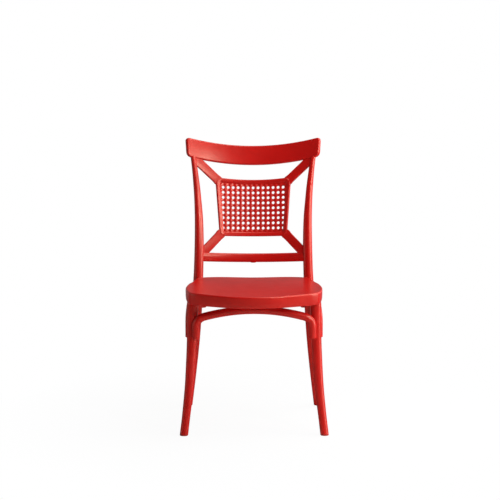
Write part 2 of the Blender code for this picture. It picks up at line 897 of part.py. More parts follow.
def screw(name, head_at, along, length):
    """A pan head screw whose head rests at a point: a turned profile."""
    profile = (
        (0.0, SCREW_HEAD_HEIGHT),
        (SCREW_HEAD_RADIUS * 0.6, SCREW_HEAD_HEIGHT * 0.93),
        (SCREW_HEAD_RADIUS * 0.93, SCREW_HEAD_HEIGHT * 0.6),
        (SCREW_HEAD_RADIUS, 0.0),
        (SCREW_RADIUS, 0.0),
        (SCREW_RADIUS, -length + 0.002),
        (0.0, -length),
    )
    mesh = bpy.data.meshes.new(name)
    points = [(radius, 0, height) for radius, height in profile]
    edges = [(i, i + 1) for i in range(len(points) - 1)]
    mesh.from_pydata(points, edges, [])
    made = add(name, mesh)
    turned = made.modifiers.new("turned", "SCREW")
    turned.steps = 8
    turned.render_steps = 8
    turned.use_merge_vertices = True
    turned.merge_threshold = 0.0001
    turned.use_smooth_shade = True
    made.location = head_at
    made.rotation_mode = "QUATERNION"
    made.rotation_quaternion = (-along).to_track_quat("Z", "Y")
    screws.append(made)
    return made


def boss(name, centre, away, base, top):
    """An eight-sided boss with one flat turned away from the leg, towards the middle."""
    turn = math.atan2(away.y, away.x)
    radius = BOSS_RADIUS / math.cos(math.pi / 8)
    rings = []
    for z in (base, top):
        ring = []
        for k in range(8):
            at = turn + math.pi / 4 * (k + 0.5)
            ring.append(
                (centre.x + radius * math.cos(at), centre.y + radius * math.sin(at), z)
            )
        rings.append(ring)
    return loft(name, rings, collection=cutters)


screw_holes = []
post_holes = {1: [], -1: []}
leg_holes = {1: [], -1: []}
leg_sockets = []

for side, hand in ((1, "right"), (-1, "left")):
    # Front leg's boss, socket and screw.
    centre = leg_centre(SKIRT_BASE, side)
    inward = Vector((-centre.x, -centre.y * 0.4, 0)).normalized()
    deck = seat_top(centre.x, centre.y) - deck_drop
    baked(seat, boss("boss", centre, inward, SKIRT_BASE + 0.002, deck + 0.0015), "UNION")
    base = centre - Vector((0, 0, 0.01))
    top = centre + Vector((0, 0, LEG_PEG_LENGTH + CLEARANCE))
    leg_sockets.append(pin("socket", base, top, LEG_PEG_RADIUS + CLEARANCE, 12))
    height = Vector((0, 0, LEG_PEG_LENGTH * 0.55))
    head = centre + height + inward * (BOSS_RADIUS + CLEARANCE)
    length = 0.012
    screw("seat_screw_front_" + hand, head, -inward, length)
    outer = head + inward * 0.001
    inner = centre + height + inward * (LEG_PEG_RADIUS - 0.001)
    screw_holes.append(pin("hole", outer, inner, SCREW_RADIUS + CLEARANCE))
    outer = centre + height + inward * (LEG_PEG_RADIUS + 0.002)
    inner = head - inward * (length + CLEARANCE)
    leg_holes[side].append(pin("hole", outer, inner, SCREW_RADIUS + CLEARANCE))

    # Rear post's pad and its two screws.
    near, out = inner_corner(side)
    deck = seat_top(near.x, near.y) - deck_drop
    start = near - out * (wall + PAD_DEPTH)
    end = near - out * 0.0022
    across = Vector((-out.y, out.x)) * 0.012
    rings = []
    for z in (SKIRT_BASE + 0.002, deck + 0.0015):
        ring = []
        for place in (start - across, start + across, end + across, end - across):
            ring.append((place.x, place.y, z))
        rings.append(ring)
    baked(seat, loft("pad", rings, collection=cutters), "UNION")
    for number, share in ((1, 0.27), (2, 0.66)):
        z = SKIRT_BASE + SKIRT_HEIGHT * share
        head = Vector((start.x, start.y, z)) - out.to_3d() * CLEARANCE
        length = wall + PAD_DEPTH + 0.016
        way = out.to_3d()
        screw("seat_screw_rear_" + hand + "_" + str(number), head, way, length)
        tip = head + way * (length + CLEARANCE)
        surface = Vector((near.x, near.y, z))
        screw_holes.append(
            pin("hole", head - way * 0.001, surface + way * 0.001, SCREW_RADIUS + CLEARANCE)
        )
        post_holes[side].append(pin("hole", head, tip, SCREW_RADIUS + CLEARANCE))

# The posts stand in a shallow hollow in the seat's rear corners.
for side, hand in ((1, "right"), (-1, "left")):
    low = SKIRT_BASE - 0.02
    high = SEAT_HEIGHT + 0.02
    room = post_body("seat_hollow_" + hand, side, CLEARANCE, 0.0, low, high, cutters)
    bend_onto_back(room)
    cut(seat, room)
cut(seat, joined("seat_sockets", leg_sockets))
cut(seat, joined("seat_screw_holes", screw_holes))


# Front legs.


LEG_START = GLIDE_HEIGHT + CLEARANCE
LEG_END = SKIRT_BASE - CLEARANCE
LEG_HEIGHTS = spread(LEG_START, LEG_END, round((LEG_END - LEG_START) / 0.042))


def leg_body(name, side, grow=0.0, low=0.0, high=9.0, collection=parts):
    rings = []
    for z in heights_around(LEG_HEIGHTS, low, high):
        half = smooth(LEG_STATIONS, leg_share(z), 3) / 2 + grow
        centre = leg_centre(z, side)
        ring = []
        for a, b in oval(half, half, 12, 2.2):
            ring.append((centre.x + side * a, centre.y + b, z))
        rings.append(ring)
    return loft(name, rings, collection=collection)


legs = {}
for side, hand in ((1, "right"), (-1, "left")):
    made = leg_body("front_leg_" + hand, side)
    centre = leg_centre(SKIRT_BASE, side)
    base = centre - Vector((0, 0, 0.012))
    top = centre + Vector((0, 0, LEG_PEG_LENGTH))
    baked(made, pin("peg", base, top, LEG_PEG_RADIUS, 12), "UNION")
    legs[side] = made


# Glides: caps that carry on the shape of each foot, with a peg up into it.


def glide(name, centre_at, half_at, side, square):
    rings = []
    for z, shrink in ((0.0, 0.0012), (0.001, 0.0002), (GLIDE_HEIGHT, 0.0)):
        centre = centre_at(z, side)
        half_x, half_y = half_at(z)
        ring = []
        for a, b in oval(half_x - shrink, half_y - shrink, 12, square):
            ring.append((centre.x + side * a, centre.y + b, z))
        rings.append(ring)
    made = loft(name, rings)
    centre = centre_at(GLIDE_HEIGHT, side)
    base = centre - Vector((0, 0, 0.002))
    top = centre + Vector((0, 0, GLIDE_PEG_LENGTH))
    baked(made, pin("peg", base, top, GLIDE_PEG_RADIUS), "UNION")
    return made


def glide_socket(centre_at, side):
    centre = centre_at(GLIDE_HEIGHT, side)
    base = centre - Vector((0, 0, 0.004))
    top = centre + Vector((0, 0, GLIDE_PEG_LENGTH + CLEARANCE))
    return pin("socket", base, top, GLIDE_PEG_RADIUS + CLEARANCE)


def leg_half(z):
    half = smooth(LEG_STATIONS, leg_share(z), 3) / 2
    return half, half


def post_half(z):
    return smooth(POST_STATIONS, level(z), 3) / 2, smooth(POST_STATIONS, level(z), 4) / 2


def sheared(ring_object):
    """Turns a rear glide with its leg, as the back's curve turns the post."""
    for vertex in ring_object.data.vertices:
        x, y, z = vertex.co
        vertex.co = bent(x, y - post_y(z), z)


glides = []
for side, hand in ((1, "right"), (-1, "left")):
    glides.append(glide("foot_glide_front_" + hand, leg_centre, leg_half, side, 2.2))
    leg_holes[side].append(glide_socket(leg_centre, side))
    made = glide("foot_glide_rear_" + hand, post_centre, post_half, side, 2.3)
    sheared(made)
    glides.append(made)
    hole = glide_socket(post_centre, side)
    sheared(hole)
    post_holes[side].append(hole)


# Braces: round bars bent down at both ends, each end hollowed to fit its leg and pegged.


def brace_path(first, last, crown, foot):
    """Points along a brace from one foot, over its crown, to the other foot."""
    span = (last - first).length
    half = span / 2
    curve = BRACE_FALL / half**2
    bend = min(BRACE_BEND, 0.8 * (crown - foot - BRACE_FALL))
    start = half - bend
    for _ in range(8):
        fall = math.atan(2 * curve * start)
        start = half - bend * (1 - math.sin(fall))
    fall = math.atan(2 * curve * start)
    crown_steps = max(4, round(start / 0.026))
    points = [(q, crown - curve * q**2) for q in spread(0, start, crown_steps)]
    centre_q = start - bend * math.sin(fall)
    centre_z = crown - curve * start**2 - bend * math.cos(fall)
    for turn in spread(fall, math.pi / 2, 5)[1:]:
        q = centre_q + bend * math.sin(turn)
        points.append((q, centre_z + bend * math.cos(turn)))
    points.append((half, foot))
    whole = [(-q, z) for q, z in reversed(points[1:])] + points
    middle = (first + last) / 2
    along = (last - first).normalized()
    places = []
    for q, z in whole:
        spot = middle + along * q
        places.append(Vector((spot.x, spot.y, z)))
    return places


def brace(name, first, last, crown, foot, pegs):
    curve = bpy.data.curves.new(name, "CURVE")
    curve.dimensions = "3D"
    curve.bevel_depth = BRACE_RADIUS
    curve.bevel_resolution = 2
    curve.use_fill_caps = True
    spline = curve.splines.new("POLY")
    path = brace_path(first, last, crown, foot)
    spline.points.add(len(path) - 1)
    for point, place in zip(spline.points, path):
        point.co = (*place, 1)
    wire = add(name + "_wire", curve)
    bpy.context.view_layer.update()
    graph = bpy.context.evaluated_depsgraph_get()
    mesh = bpy.data.meshes.new_from_object(wire.evaluated_get(graph))
    bpy.data.objects.remove(wire)
    work = bmesh.new()
    work.from_mesh(mesh)
    bmesh.ops.remove_doubles(work, verts=work.verts, dist=1e-6)
    bmesh.ops.recalc_face_normals(work, faces=work.faces)
    work.to_mesh(mesh)
    work.free()
    made = add(name, mesh)
    for room, peg in pegs:
        baked(made, room, "DIFFERENCE")
        baked(made, peg, "UNION")
    return made


def brace_joint(end, foot, leg_at, room, holes):
    """The leg's room in a brace's end, and the peg from the brace into the leg."""
    z = foot + 0.016
    target = leg_at(z)
    start = Vector((end.x, end.y, z))
    way = target - start
    reach = way.length
    way.normalize()
    start = start + way * (BRACE_RADIUS * 0.2)
    tip = start + way * (reach - BRACE_RADIUS * 0.2 - 0.006)
    holes.append(
        pin(
            "hole",
            start + way * 0.002,
            tip + way * CLEARANCE,
            BRACE_PEG_RADIUS + CLEARANCE,
        )
    )
    return room, pin("peg", start, tip, BRACE_PEG_RADIUS)


def leg_room(side, foot):
    return leg_body("room", side, CLEARANCE, foot - 0.03, SKIRT_BASE, cutters)


def post_room(side, foot):
    made = post_body("room", side, CLEARANCE, 0.0, foot - 0.03, SKIRT_BASE, cutters)
    bend_onto_back(made)
    return made


def beside(centre, direction, distance):
    """A brace end's centre, standing against a leg on one side of it."""
    direction = Vector(direction).normalized()
    return Vector((centre.x, centre.y)) + direction * distance


# From a leg's centre to the centre of a brace's end beside it.
FRONT_BRACE_REACH = BRACE_RADIUS + 0.0117
BRACE_REACH = BRACE_RADIUS + 0.0144

front_z = (FRONT_BRACE_FOOT + FRONT_BRACE_CROWN) / 2
side_z = (SIDE_BRACE_FOOT + SIDE_BRACE_CROWN) / 2
rear_z = (REAR_BRACE_FOOT + REAR_BRACE_CROWN) / 2

braces = []
ends = {}
for side in (1, -1):
    leg = leg_centre(front_z, side)
    ends["front", side] = beside(leg, (side * -0.5, -0.87), FRONT_BRACE_REACH)
    leg = leg_centre(side_z, side)
    ends["side_front", side] = beside(leg, (side * 0.36, 0.933), BRACE_REACH)
    leg = post_centre(side_z, side)
    ends["side_rear", side] = beside(leg, (side * 0.45, -0.9), BRACE_REACH)
    leg = post_centre(rear_z, side)
    ends["rear", side] = beside(leg, (side * -0.6, 0.8), BRACE_REACH)

joints = []
for side in (-1, 1):
    joints.append(
        brace_joint(
            ends["front", side],
            FRONT_BRACE_FOOT,
            lambda z, s=side: leg_centre(z, s),
            leg_room(side, FRONT_BRACE_FOOT),
            leg_holes[side],
        )
    )
braces.append(
    brace(
        "front_brace",
        ends["front", -1],
        ends["front", 1],
        FRONT_BRACE_CROWN,
        FRONT_BRACE_FOOT,
        joints,
    )
)

joints = []
for side in (-1, 1):
    joints.append(
        brace_joint(
            ends["rear", side],
            REAR_BRACE_FOOT,
            lambda z, s=side: post_centre(z, s),
            post_room(side, REAR_BRACE_FOOT),
            post_holes[side],
        )
    )
braces.append(
    brace(
        "rear_brace",
        ends["rear", -1],
        ends["rear", 1],
        REAR_BRACE_CROWN,
        REAR_BRACE_FOOT,
        joints,
    )
)

for side, hand in ((1, "right"), (-1, "left")):
    front = brace_joint(
        ends["side_front", side],
        SIDE_BRACE_FOOT,
        lambda z, s=side: leg_centre(z, s),
        leg_room(side, SIDE_BRACE_FOOT),
        leg_holes[side],
    )
    rear = brace_joint(
        ends["side_rear", side],
        SIDE_BRACE_FOOT,
        lambda z, s=side: post_centre(z, s),
        post_room(side, SIDE_BRACE_FOOT),
        post_holes[side],
    )
    braces.append(
        brace(
            "side_brace_" + hand,
            ends["side_front", side],
            ends["side_rear", side],
            SIDE_BRACE_CROWN,
            SIDE_BRACE_FOOT,
            [front, rear],
        )
    )

for side, hand in ((1, "right"), (-1, "left")):
    cut(legs[side], joined("front_leg_holes_" + hand, leg_holes[side]))
    cut(posts[side], joined("rear_post_holes_" + hand, post_holes[side]))


for made in [seat, crest, rail, panel] + arms + braces:
    finish(made)
for side in (1, -1):
    finish(legs[side])
    finish(posts[side])
for made in glides:
    finish(made, DEEP_RED, 0.5)
for made in screws:
    material = plastic(made.name, STEEL, 0.3)
    material.node_tree.nodes["Principled BSDF"].inputs["Metallic"].default_value = 1
    made.data.materials.append(material)

# The origin stands on the floor under the middle of the chair's overall depth.
bpy.context.view_layer.update()
graph = bpy.context.evaluated_depsgraph_get()
reach = []
for made in parts.objects:
    if made.type != "MESH":
        continue
    solid = made.evaluated_get(graph)
    reach += [(solid.matrix_world @ vertex.co).y for vertex in solid.data.vertices]
origin.location = (0, -(min(reach) + max(reach)) / 2, 0)
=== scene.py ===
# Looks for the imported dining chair: satin red moulded plastic under soft studio light.
# Metres, +Z up, the chair faces -Y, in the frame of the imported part.

import math

import bmesh
import bpy
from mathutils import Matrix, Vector


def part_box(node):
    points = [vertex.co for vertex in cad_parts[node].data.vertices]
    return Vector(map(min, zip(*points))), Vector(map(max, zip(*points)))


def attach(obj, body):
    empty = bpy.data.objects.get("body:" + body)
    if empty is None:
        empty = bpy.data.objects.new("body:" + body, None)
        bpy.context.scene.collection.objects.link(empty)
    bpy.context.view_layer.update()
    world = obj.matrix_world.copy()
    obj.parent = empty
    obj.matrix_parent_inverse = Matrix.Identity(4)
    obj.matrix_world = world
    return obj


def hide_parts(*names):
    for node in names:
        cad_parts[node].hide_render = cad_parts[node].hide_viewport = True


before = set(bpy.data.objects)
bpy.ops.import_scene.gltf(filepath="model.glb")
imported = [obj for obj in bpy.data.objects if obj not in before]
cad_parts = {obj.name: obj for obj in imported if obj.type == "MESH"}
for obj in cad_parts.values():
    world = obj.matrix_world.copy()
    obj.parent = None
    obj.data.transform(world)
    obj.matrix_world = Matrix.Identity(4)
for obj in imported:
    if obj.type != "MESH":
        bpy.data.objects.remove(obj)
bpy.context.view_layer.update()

# Sizes: the same named values as in the part's source.

SEAT_HEIGHT = 0.4536
SEAT_WIDTH = 0.438
SEAT_DEPTH = 0.396
SEAT_FALL = 0.004
SEAT_DISH = 0.004
SEAT_SINK = 0.0006
SKIRT_HEIGHT = 0.0371
SEAT_WALL = 0.004
BACK_RISE = 0.4321
BACK_RADIUS = 0.5
BACK_PLATE = 0.0102
CREST_HEIGHT = 0.062
CREST_THICKNESS = 0.0155
CREST_HALF_SPAN = 0.2222
CREST_CURVE = 0.387
PANEL_BASE = 0.1337
PANEL_HEIGHT = 0.1872
PANEL_HALF_WIDTH = 0.1188
PANEL_TAPER = 0.075
PANEL_CORNER = 0.0165
PANEL_TOP_CURVE = 0.4
PANEL_BASE_CURVE = 0.09
RIM_WIDTH = 0.0145
RIM_THICKNESS = 0.012
RIM_CORNER = 0.005
FIELD_THICKNESS = 0.004
HOLE_COLUMNS = 13
HOLE_ROWS = 9
HOLE_PITCH = 0.01667
HOLE_RADIUS = 0.0046
ARM_UPPER_WIDTH = 0.0275
ARM_LOWER_WIDTH = 0.0288
RAIL_BASE = 0.0465
RAIL_HEIGHT = 0.0296
RAIL_THICKNESS = 0.018
RAIL_CURVE = 0.13
RAIL_NUB = 0.002
RAIL_NUB_REACH = 0.0095
POST_INSET = 0.037
POST_SETBACK = 0.011
FRONT_LEG_INSET = 0.0232
FRONT_LEG_SETBACK = 0.11
BRACE_RADIUS = 0.0128
BRACE_BEND = 0.034
BRACE_FALL = 0.029
GLIDE_HEIGHT = 0.005
BOSS_RADIUS = 0.0155
PAD_DEPTH = 0.009
CLEARANCE = 0.0003

SKIRT_BASE = SEAT_HEIGHT - SKIRT_HEIGHT
POST_X = SEAT_WIDTH / 2 - POST_INSET
POST_Y = SEAT_DEPTH / 2 - POST_SETBACK
FRONT_LEG_X = SEAT_WIDTH / 2 - FRONT_LEG_INSET
FRONT_LEG_Y = FRONT_LEG_SETBACK - SEAT_DEPTH / 2

# Level (0 floor, 1 seat, 2 crest), centre's offset outwards and backwards, width, depth.
POST_STATIONS = (
    (0.0, 0.0385, 0.071, 0.0265, 0.027),
    (0.277, 0.0235, 0.0397, 0.0275, 0.028),
    (0.529, 0.0126, 0.0162, 0.03, 0.03),
    (0.743, 0.006, 0.0031, 0.0314, 0.031),
    (0.885, 0.0028, -0.0006, 0.0313, 0.031),
    (1.018, -0.0002, 0.0005, 0.0294, 0.029),
    (1.11, -0.0015, 0.0041, 0.0289, 0.0275),
    (1.26, -0.0028, 0.0139, 0.0284, 0.025),
    (1.442, -0.0018, 0.0314, 0.0258, 0.0225),
    (1.589, 0.0021, 0.0486, 0.0219, 0.0205),
    (1.679, 0.0055, 0.0601, 0.0201, 0.0195),
    (1.796, 0.0113, 0.0757, 0.0174, 0.017),
    (1.888, 0.0167, 0.0881, 0.0166, 0.0157),
    (2.054, 0.026, 0.11, 0.0164, 0.0152),
)

# Share of the height up to the skirt, centre's offset outwards and forwards, width.
LEG_STATIONS = (
    (0.0, 0.0277, 0.059, 0.027),
    (0.12, 0.0217, 0.0492, 0.0266),
    (0.24, 0.0159, 0.0399, 0.0278),
    (0.36, 0.0107, 0.031, 0.0292),
    (0.481, 0.007, 0.0228, 0.0306),
    (0.721, 0.0022, 0.009, 0.032),
    (0.944, 0.0, 0.0, 0.0352),
    (1.0, -0.0004, -0.0016, 0.0358),
)

# Half of the seat's outline from front to rear: share of half the width, share of half
# the depth, and the number of steps to the next point.
SEAT_OUTLINE = (
    (0.0, -1.0, 2),
    (0.274, -0.966, 2),
    (0.511, -0.871, 2),
    (0.731, -0.762, 2),
    (0.87, -0.678, 2),
    (0.93, -0.618, 2),
    (0.958, -0.54, 2),
    (0.986, -0.36, 2),
    (1.0, -0.14, 2),
    (0.986, 0.08, 2),
    (0.96, 0.275, 2),
    (0.914, 0.47, 2),
    (0.895, 0.62, 2),
    (0.873, 0.748, 2),
    (0.826, 0.858, 2),
    (0.75, 0.945, 2),
    (0.65, 0.99, 3),
    (0.0, 1.0, 0),
)
OUTLINE_FINENESS = 4

# Each brace's crown and feet, below the skirt's base.
BRACE_DROPS = {"front": (0.0187, 0.1095), "side": (0.0225, 0.1145), "rear": (0.0165, 0.07)}

HANDS = ((1, "right"), (-1, "left"))

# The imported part's origin is under the middle of the overall depth.
ORIGIN_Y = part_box("seat")[0].y + SEAT_DEPTH / 2


# Shared shape functions.


def smooth(stations, key, column):
    """One column of the stations at this key, on a smooth curve through them."""
    last = len(stations) - 1
    i = 0
    while i < last - 1 and key > stations[i + 1][0]:
        i += 1

    def slope(k):
        low = stations[max(k - 1, 0)]
        high = stations[min(k + 1, last)]
        return (high[column] - low[column]) / (high[0] - low[0])

    span = stations[i + 1][0] - stations[i][0]
    s = (key - stations[i][0]) / span
    rise = stations[i + 1][column] - stations[i][column]
    blend = 3 * s**2 - 2 * s**3
    start = (s**3 - 2 * s**2 + s) * span * slope(i)
    end = (s**3 - s**2) * span * slope(i + 1)
    return stations[i][column] + rise * blend + start + end


def level(z):
    """A height counted as 0 at the floor, 1 at the seat and 2 at the crest."""
    if z < SEAT_HEIGHT:
        return z / SEAT_HEIGHT
    return 1 + (z - SEAT_HEIGHT) / BACK_RISE


def post_x(z):
    return POST_X + smooth(POST_STATIONS, level(z), 1)


def post_y(z):
    return POST_Y + smooth(POST_STATIONS, level(z), 2)


def lean(z):
    """How far the back reclines at this height. It is upright below the seat."""
    step = 0.002
    return max(0.0, math.atan((post_y(z + step) - post_y(z - step)) / (2 * step)))


def bent(x, y, z):
    """Where a point of the flat layout stands on the curved and reclined back."""
    turn = math.asin(x / BACK_RADIUS)
    across = math.sqrt(BACK_RADIUS**2 - post_x(z) ** 2)
    deep = (BACK_RADIUS + y) * math.cos(turn) - across
    angle = lean(z)
    return Vector(
        (
            (BACK_RADIUS + y) * math.sin(turn),
            post_y(z) + deep * math.cos(angle),
            z - deep * math.sin(angle),
        )
    )


def crest_top(x):
    return SEAT_HEIGHT + BACK_RISE + CREST_CURVE * x**2


def crest_base(x):
    return crest_top(x) - CREST_HEIGHT


def rail_base(x):
    nub = RAIL_NUB * math.sqrt(max(0.0, 1 - (x / RAIL_NUB_REACH) ** 2))
    return SEAT_HEIGHT + RAIL_BASE + RAIL_CURVE * x**2 - nub


def rail_top(x):
    return SEAT_HEIGHT + RAIL_BASE + RAIL_HEIGHT + RAIL_CURVE * x**2


def spread(start, end, steps):
    """Evenly spread values, both ends counted."""
    return [start + (end - start) * i / steps for i in range(steps + 1)]


def ease(s):
    """A soft step from 0 to 1."""
    s = max(0.0, min(1.0, s))
    return s * s * (3 - 2 * s)


def oval(half_x, half_y, sides, square):
    """A rounded section: square is 2 for an ellipse, and more for a boxier one."""
    points = []
    for i in range(sides):
        turn = 2 * math.pi * (i + 0.5) / sides
        a = math.copysign(abs(math.cos(turn)) ** (2 / square), math.cos(turn))
        b = math.copysign(abs(math.sin(turn)) ** (2 / square), math.sin(turn))
        points.append((half_x * a, half_y * b))
    return points


def rounded_box(half_y, half_z, radius, steps):
    """A rectangular section with rounded corners, around its own centre."""
    points = []
    for quarter, (sy, sz) in enumerate(((1, 1), (-1, 1), (-1, -1), (1, -1))):
        for k in range(steps + 1):
            turn = math.pi / 2 * (quarter + k / steps)
            y = sy * (half_y - radius) + radius * math.cos(turn)
            z = sz * (half_z - radius) + radius * math.sin(turn)
            points.append((y, z))
    return points


# Materials.


def node(tree, kind, x, y, inputs=None, **settings):
    """A new node. Each input gets a value, or a link from another node's output."""
    made = tree.nodes.new(kind)
    made.location = (x, y)
    for key, value in settings.items():
        setattr(made, key, value)
    for key, value in (inputs or {}).items():
        if isinstance(value, bpy.types.NodeSocket):
            tree.links.new(value, made.inputs[key])
        else:
            made.inputs[key].default_value = value
    return made


def principled(name):
    """A new material, its node tree, its shader and the object's own coordinates."""
    material = bpy.data.materials.new(name)
    material.use_nodes = True
    tree = material.node_tree
    place = node(tree, "ShaderNodeTexCoord", -1300, 0).outputs["Object"]
    return material, tree, tree.nodes["Principled BSDF"], place


def noise(tree, y, place, scale, detail, roughness=0.5):
    """Noise at this scale, as one number."""
    inputs = {"Vector": place, "Scale": scale, "Detail": detail, "Roughness": roughness}
    return node(tree, "ShaderNodeTexNoise", -1050, y, inputs).outputs["Fac"]


def tones(tree, y, value, stops):
    """Colours between two stops of a number: (position, colour) each."""
    made = node(tree, "ShaderNodeValToRGB", -800, y, {"Fac": value})
    for element, (position, colour) in zip(made.color_ramp.elements, stops):
        element.position = position
        element.color = (*colour, 1)
    return made.outputs["Color"]


def ramp(tree, x, y, value, low, high, start=0.0, end=1.0, curve="LINEAR"):
    """A number from low to high as the value goes from start to end."""
    inputs = {"Value": value, "From Min": start, "From Max": end, "To Min": low, "To Max": high}
    made = node(tree, "ShaderNodeMapRange", x, y, inputs, interpolation_type=curve)
    return made.outputs["Result"]


PLASTIC_IOR = 1.49
GLOSS_LEVEL = 1.0
GLOSS_TINT = (1.0, 0.72, 0.55)
FLOW_SCALE = 9.0
FLOW_ROUGHNESS = 0.6
TONE_DARK = 0.93
TONE_PALE = 1.05
TONE_LIFT = 0.0005
SHEEN_SCALE = 34.0
SHEEN_CHANGE = 0.045
GRAIN_SCALE = 1500.0
GRAIN_HEIGHT = 0.000012
GRAIN_STRENGTH = 0.3
WAVE_SCALE = 14.0
WAVE_HEIGHT = 0.0006
WAVE_STRENGTH = 0.25


def moulded_plastic(name, colour, roughness, grain=1.0):
    """Coloured plastic with a fine mould grain and slow changes of tone and gloss."""
    material, tree, shader, place = principled(name)
    shader.inputs["IOR"].default_value = PLASTIC_IOR
    shader.inputs["Specular IOR Level"].default_value = GLOSS_LEVEL
    shader.inputs["Specular Tint"].default_value = (*GLOSS_TINT, 1)

    # Slow flow marks of the moulding, a touch deeper and paler from place to place.
    flow = noise(tree, 250, place, FLOW_SCALE, 4.0, FLOW_ROUGHNESS)
    dark = [c * TONE_DARK for c in colour]
    pale = [min(1.0, c * TONE_PALE + TONE_LIFT) for c in colour]
    colours = tones(tree, 250, flow, ((0.35, dark), (0.65, pale)))
    tree.links.new(colours, shader.inputs["Base Color"])

    # Gloss that changes a little, as on a moulded surface that has been handled.
    sheen = noise(tree, -50, place, SHEEN_SCALE, 5.0)
    gloss = ramp(tree, -800, -50, sheen, roughness - SHEEN_CHANGE, roughness + SHEEN_CHANGE)
    tree.links.new(gloss, shader.inputs["Roughness"])

    # The mould's fine grain, and the faint waviness of a cooled thick wall.
    normal = None
    for y, scale, detail, strength, height in (
        (-600, WAVE_SCALE, 1.0, WAVE_STRENGTH, WAVE_HEIGHT),
        (-350, GRAIN_SCALE, 2.0, GRAIN_STRENGTH * grain, GRAIN_HEIGHT),
    ):
        relief = noise(tree, y, place, scale, detail)
        inputs = {"Strength": strength, "Distance": height, "Height": relief}
        if normal:
            inputs["Normal"] = normal
        normal = node(tree, "ShaderNodeBump", -550, y, inputs).outputs["Normal"]
    tree.links.new(normal, shader.inputs["Normal"])
    return material


def bright_steel(name):
    """Plated screw steel with a little dulling in spots."""
    material, tree, shader, place = principled(name)
    shader.inputs["Metallic"].default_value = 1.0
    spots = noise(tree, 150, place, 400.0, 3.0)
    greys = ((0.0, (0.45, 0.45, 0.46)), (1.0, (0.66, 0.66, 0.65)))
    tree.links.new(tones(tree, 150, spots, greys), shader.inputs["Base Color"])
    tree.links.new(ramp(tree, -800, -100, spots, 0.25, 0.4), shader.inputs["Roughness"])
    return material


RED = (0.62, 0.006, 0.005)
DEEP_RED = (0.5, 0.005, 0.005)
SATIN = 0.3
MATTE = 0.52
COARSE_GRAIN = 1.6
RED_PLASTIC = moulded_plastic("satin_red_plastic", RED, SATIN)
GLIDE_PLASTIC = moulded_plastic("deep_red_glide_plastic", DEEP_RED, MATTE, COARSE_GRAIN)
SCREW_STEEL = bright_steel("bright_screw_steel")


# Making pieces.


def finished(work, name):
    """Turns the work into a mesh whose faces all look outwards."""
    bmesh.ops.recalc_face_normals(work, faces=work.faces)
    mesh = bpy.data.meshes.new(name)
    work.to_mesh(mesh)
    work.free()
    return mesh


def mesh_from_rings(name, rings, around=False):
    """A closed solid through rings of points, or a closed ring of them."""
    work = bmesh.new()
    rows = [[work.verts.new(point) for point in ring] for ring in rings]
    neighbours = list(zip(rows, rows[1:]))
    if around:
        neighbours.append((rows[-1], rows[0]))
    for low, high in neighbours:
        for i in range(len(low)):
            j = (i + 1) % len(low)
            work.faces.new((low[i], low[j], high[j], high[i]))
    if not around:
        work.faces.new(rows[0])
        work.faces.new(rows[-1])
    return finished(work, name)


def put(name, data):
    """Places a mesh, lamp or camera in the scene as an object."""
    made = bpy.data.objects.new(name, data)
    bpy.context.scene.collection.objects.link(made)
    return made


def dress(made, nodes, material=RED_PLASTIC, sharp=35):
    """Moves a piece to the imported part's origin, finishes it and hands it to the frame."""
    for vertex in made.data.vertices:
        vertex.co.y += ORIGIN_Y
    made.data.materials.clear()
    made.data.materials.append(material)
    made.data.shade_smooth()
    made.data.set_sharp_from_angle(angle=math.radians(sharp))
    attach(made, "root")
    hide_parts(*nodes)


def baked(made, other, operation):
    """Joins or cuts another object for good, and removes it."""
    for item in (made, other):
        work = bmesh.new()
        work.from_mesh(item.data)
        bmesh.ops.triangulate(work, faces=work.faces)
        work.to_mesh(item.data)
        work.free()
    modifier = made.modifiers.new(operation.lower(), "BOOLEAN")
    modifier.solver = "EXACT"
    modifier.operation = operation
    modifier.object = other
    bpy.context.view_layer.update()
    graph = bpy.context.evaluated_depsgraph_get()
    mesh = bpy.data.meshes.new_from_object(made.evaluated_get(graph))
    made.modifiers.clear()
    old = made.data
    made.data = mesh
    mesh.name = made.name
    bpy.data.meshes.remove(old)
    bpy.data.objects.remove(other)


def bend_onto_back(mesh):
    """Moves a mesh from the flat layout onto the curved and reclined back."""
    for vertex in mesh.vertices:
        vertex.co = bent(*vertex.co)
    return mesh


def mirrored(right):
    """Places across the middle, from the right half's places out to its end."""
    return [-x for x in reversed(right)] + [0.0] + right


# Rear posts.

POST_SIDES = 44
POST_STEPS = 110
POST_SQUARE = 2.3
POST_TOP_BLEND = 0.05
POST_IN_CREST = 0.004
POST_START = GLIDE_HEIGHT + CLEARANCE
POST_TOP_X = post_x(SEAT_HEIGHT + 0.88 * BACK_RISE)
POST_END = crest_base(POST_TOP_X) + POST_IN_CREST
FOOT_EDGE = 0.0006


def post_half(z):
    """Half a post's width and half its depth."""
    return smooth(POST_STATIONS, level(z), 3) / 2, smooth(POST_STATIONS, level(z), 4) / 2


def post_ring(z, side, shrink=0.0):
    """A post's section in the flat layout. Near its top it follows the crest's base."""
    width, depth = post_half(z)
    blend = max(0.0, min(1.0, 1 - (POST_END - z) / POST_TOP_BLEND))
    ring = []
    for a, b in oval(width - shrink, depth - shrink, POST_SIDES, POST_SQUARE):
        x = post_x(z) + a
        lift = blend * (crest_base(x) - crest_base(post_x(z)))
        ring.append((side * x, b, z + lift))
    return ring


def rear_post(side):
    rings = [post_ring(POST_START, side, FOOT_EDGE)]
    rings += [post_ring(z, side) for z in spread(POST_START + FOOT_EDGE, POST_END, POST_STEPS)]
    return bend_onto_back(mesh_from_rings("post", rings))


for side, hand in HANDS:
    post = put("rear_post_" + hand + "_skin", rear_post(side))
    dress(post, ["rear_post_" + hand])


# Crest rail.

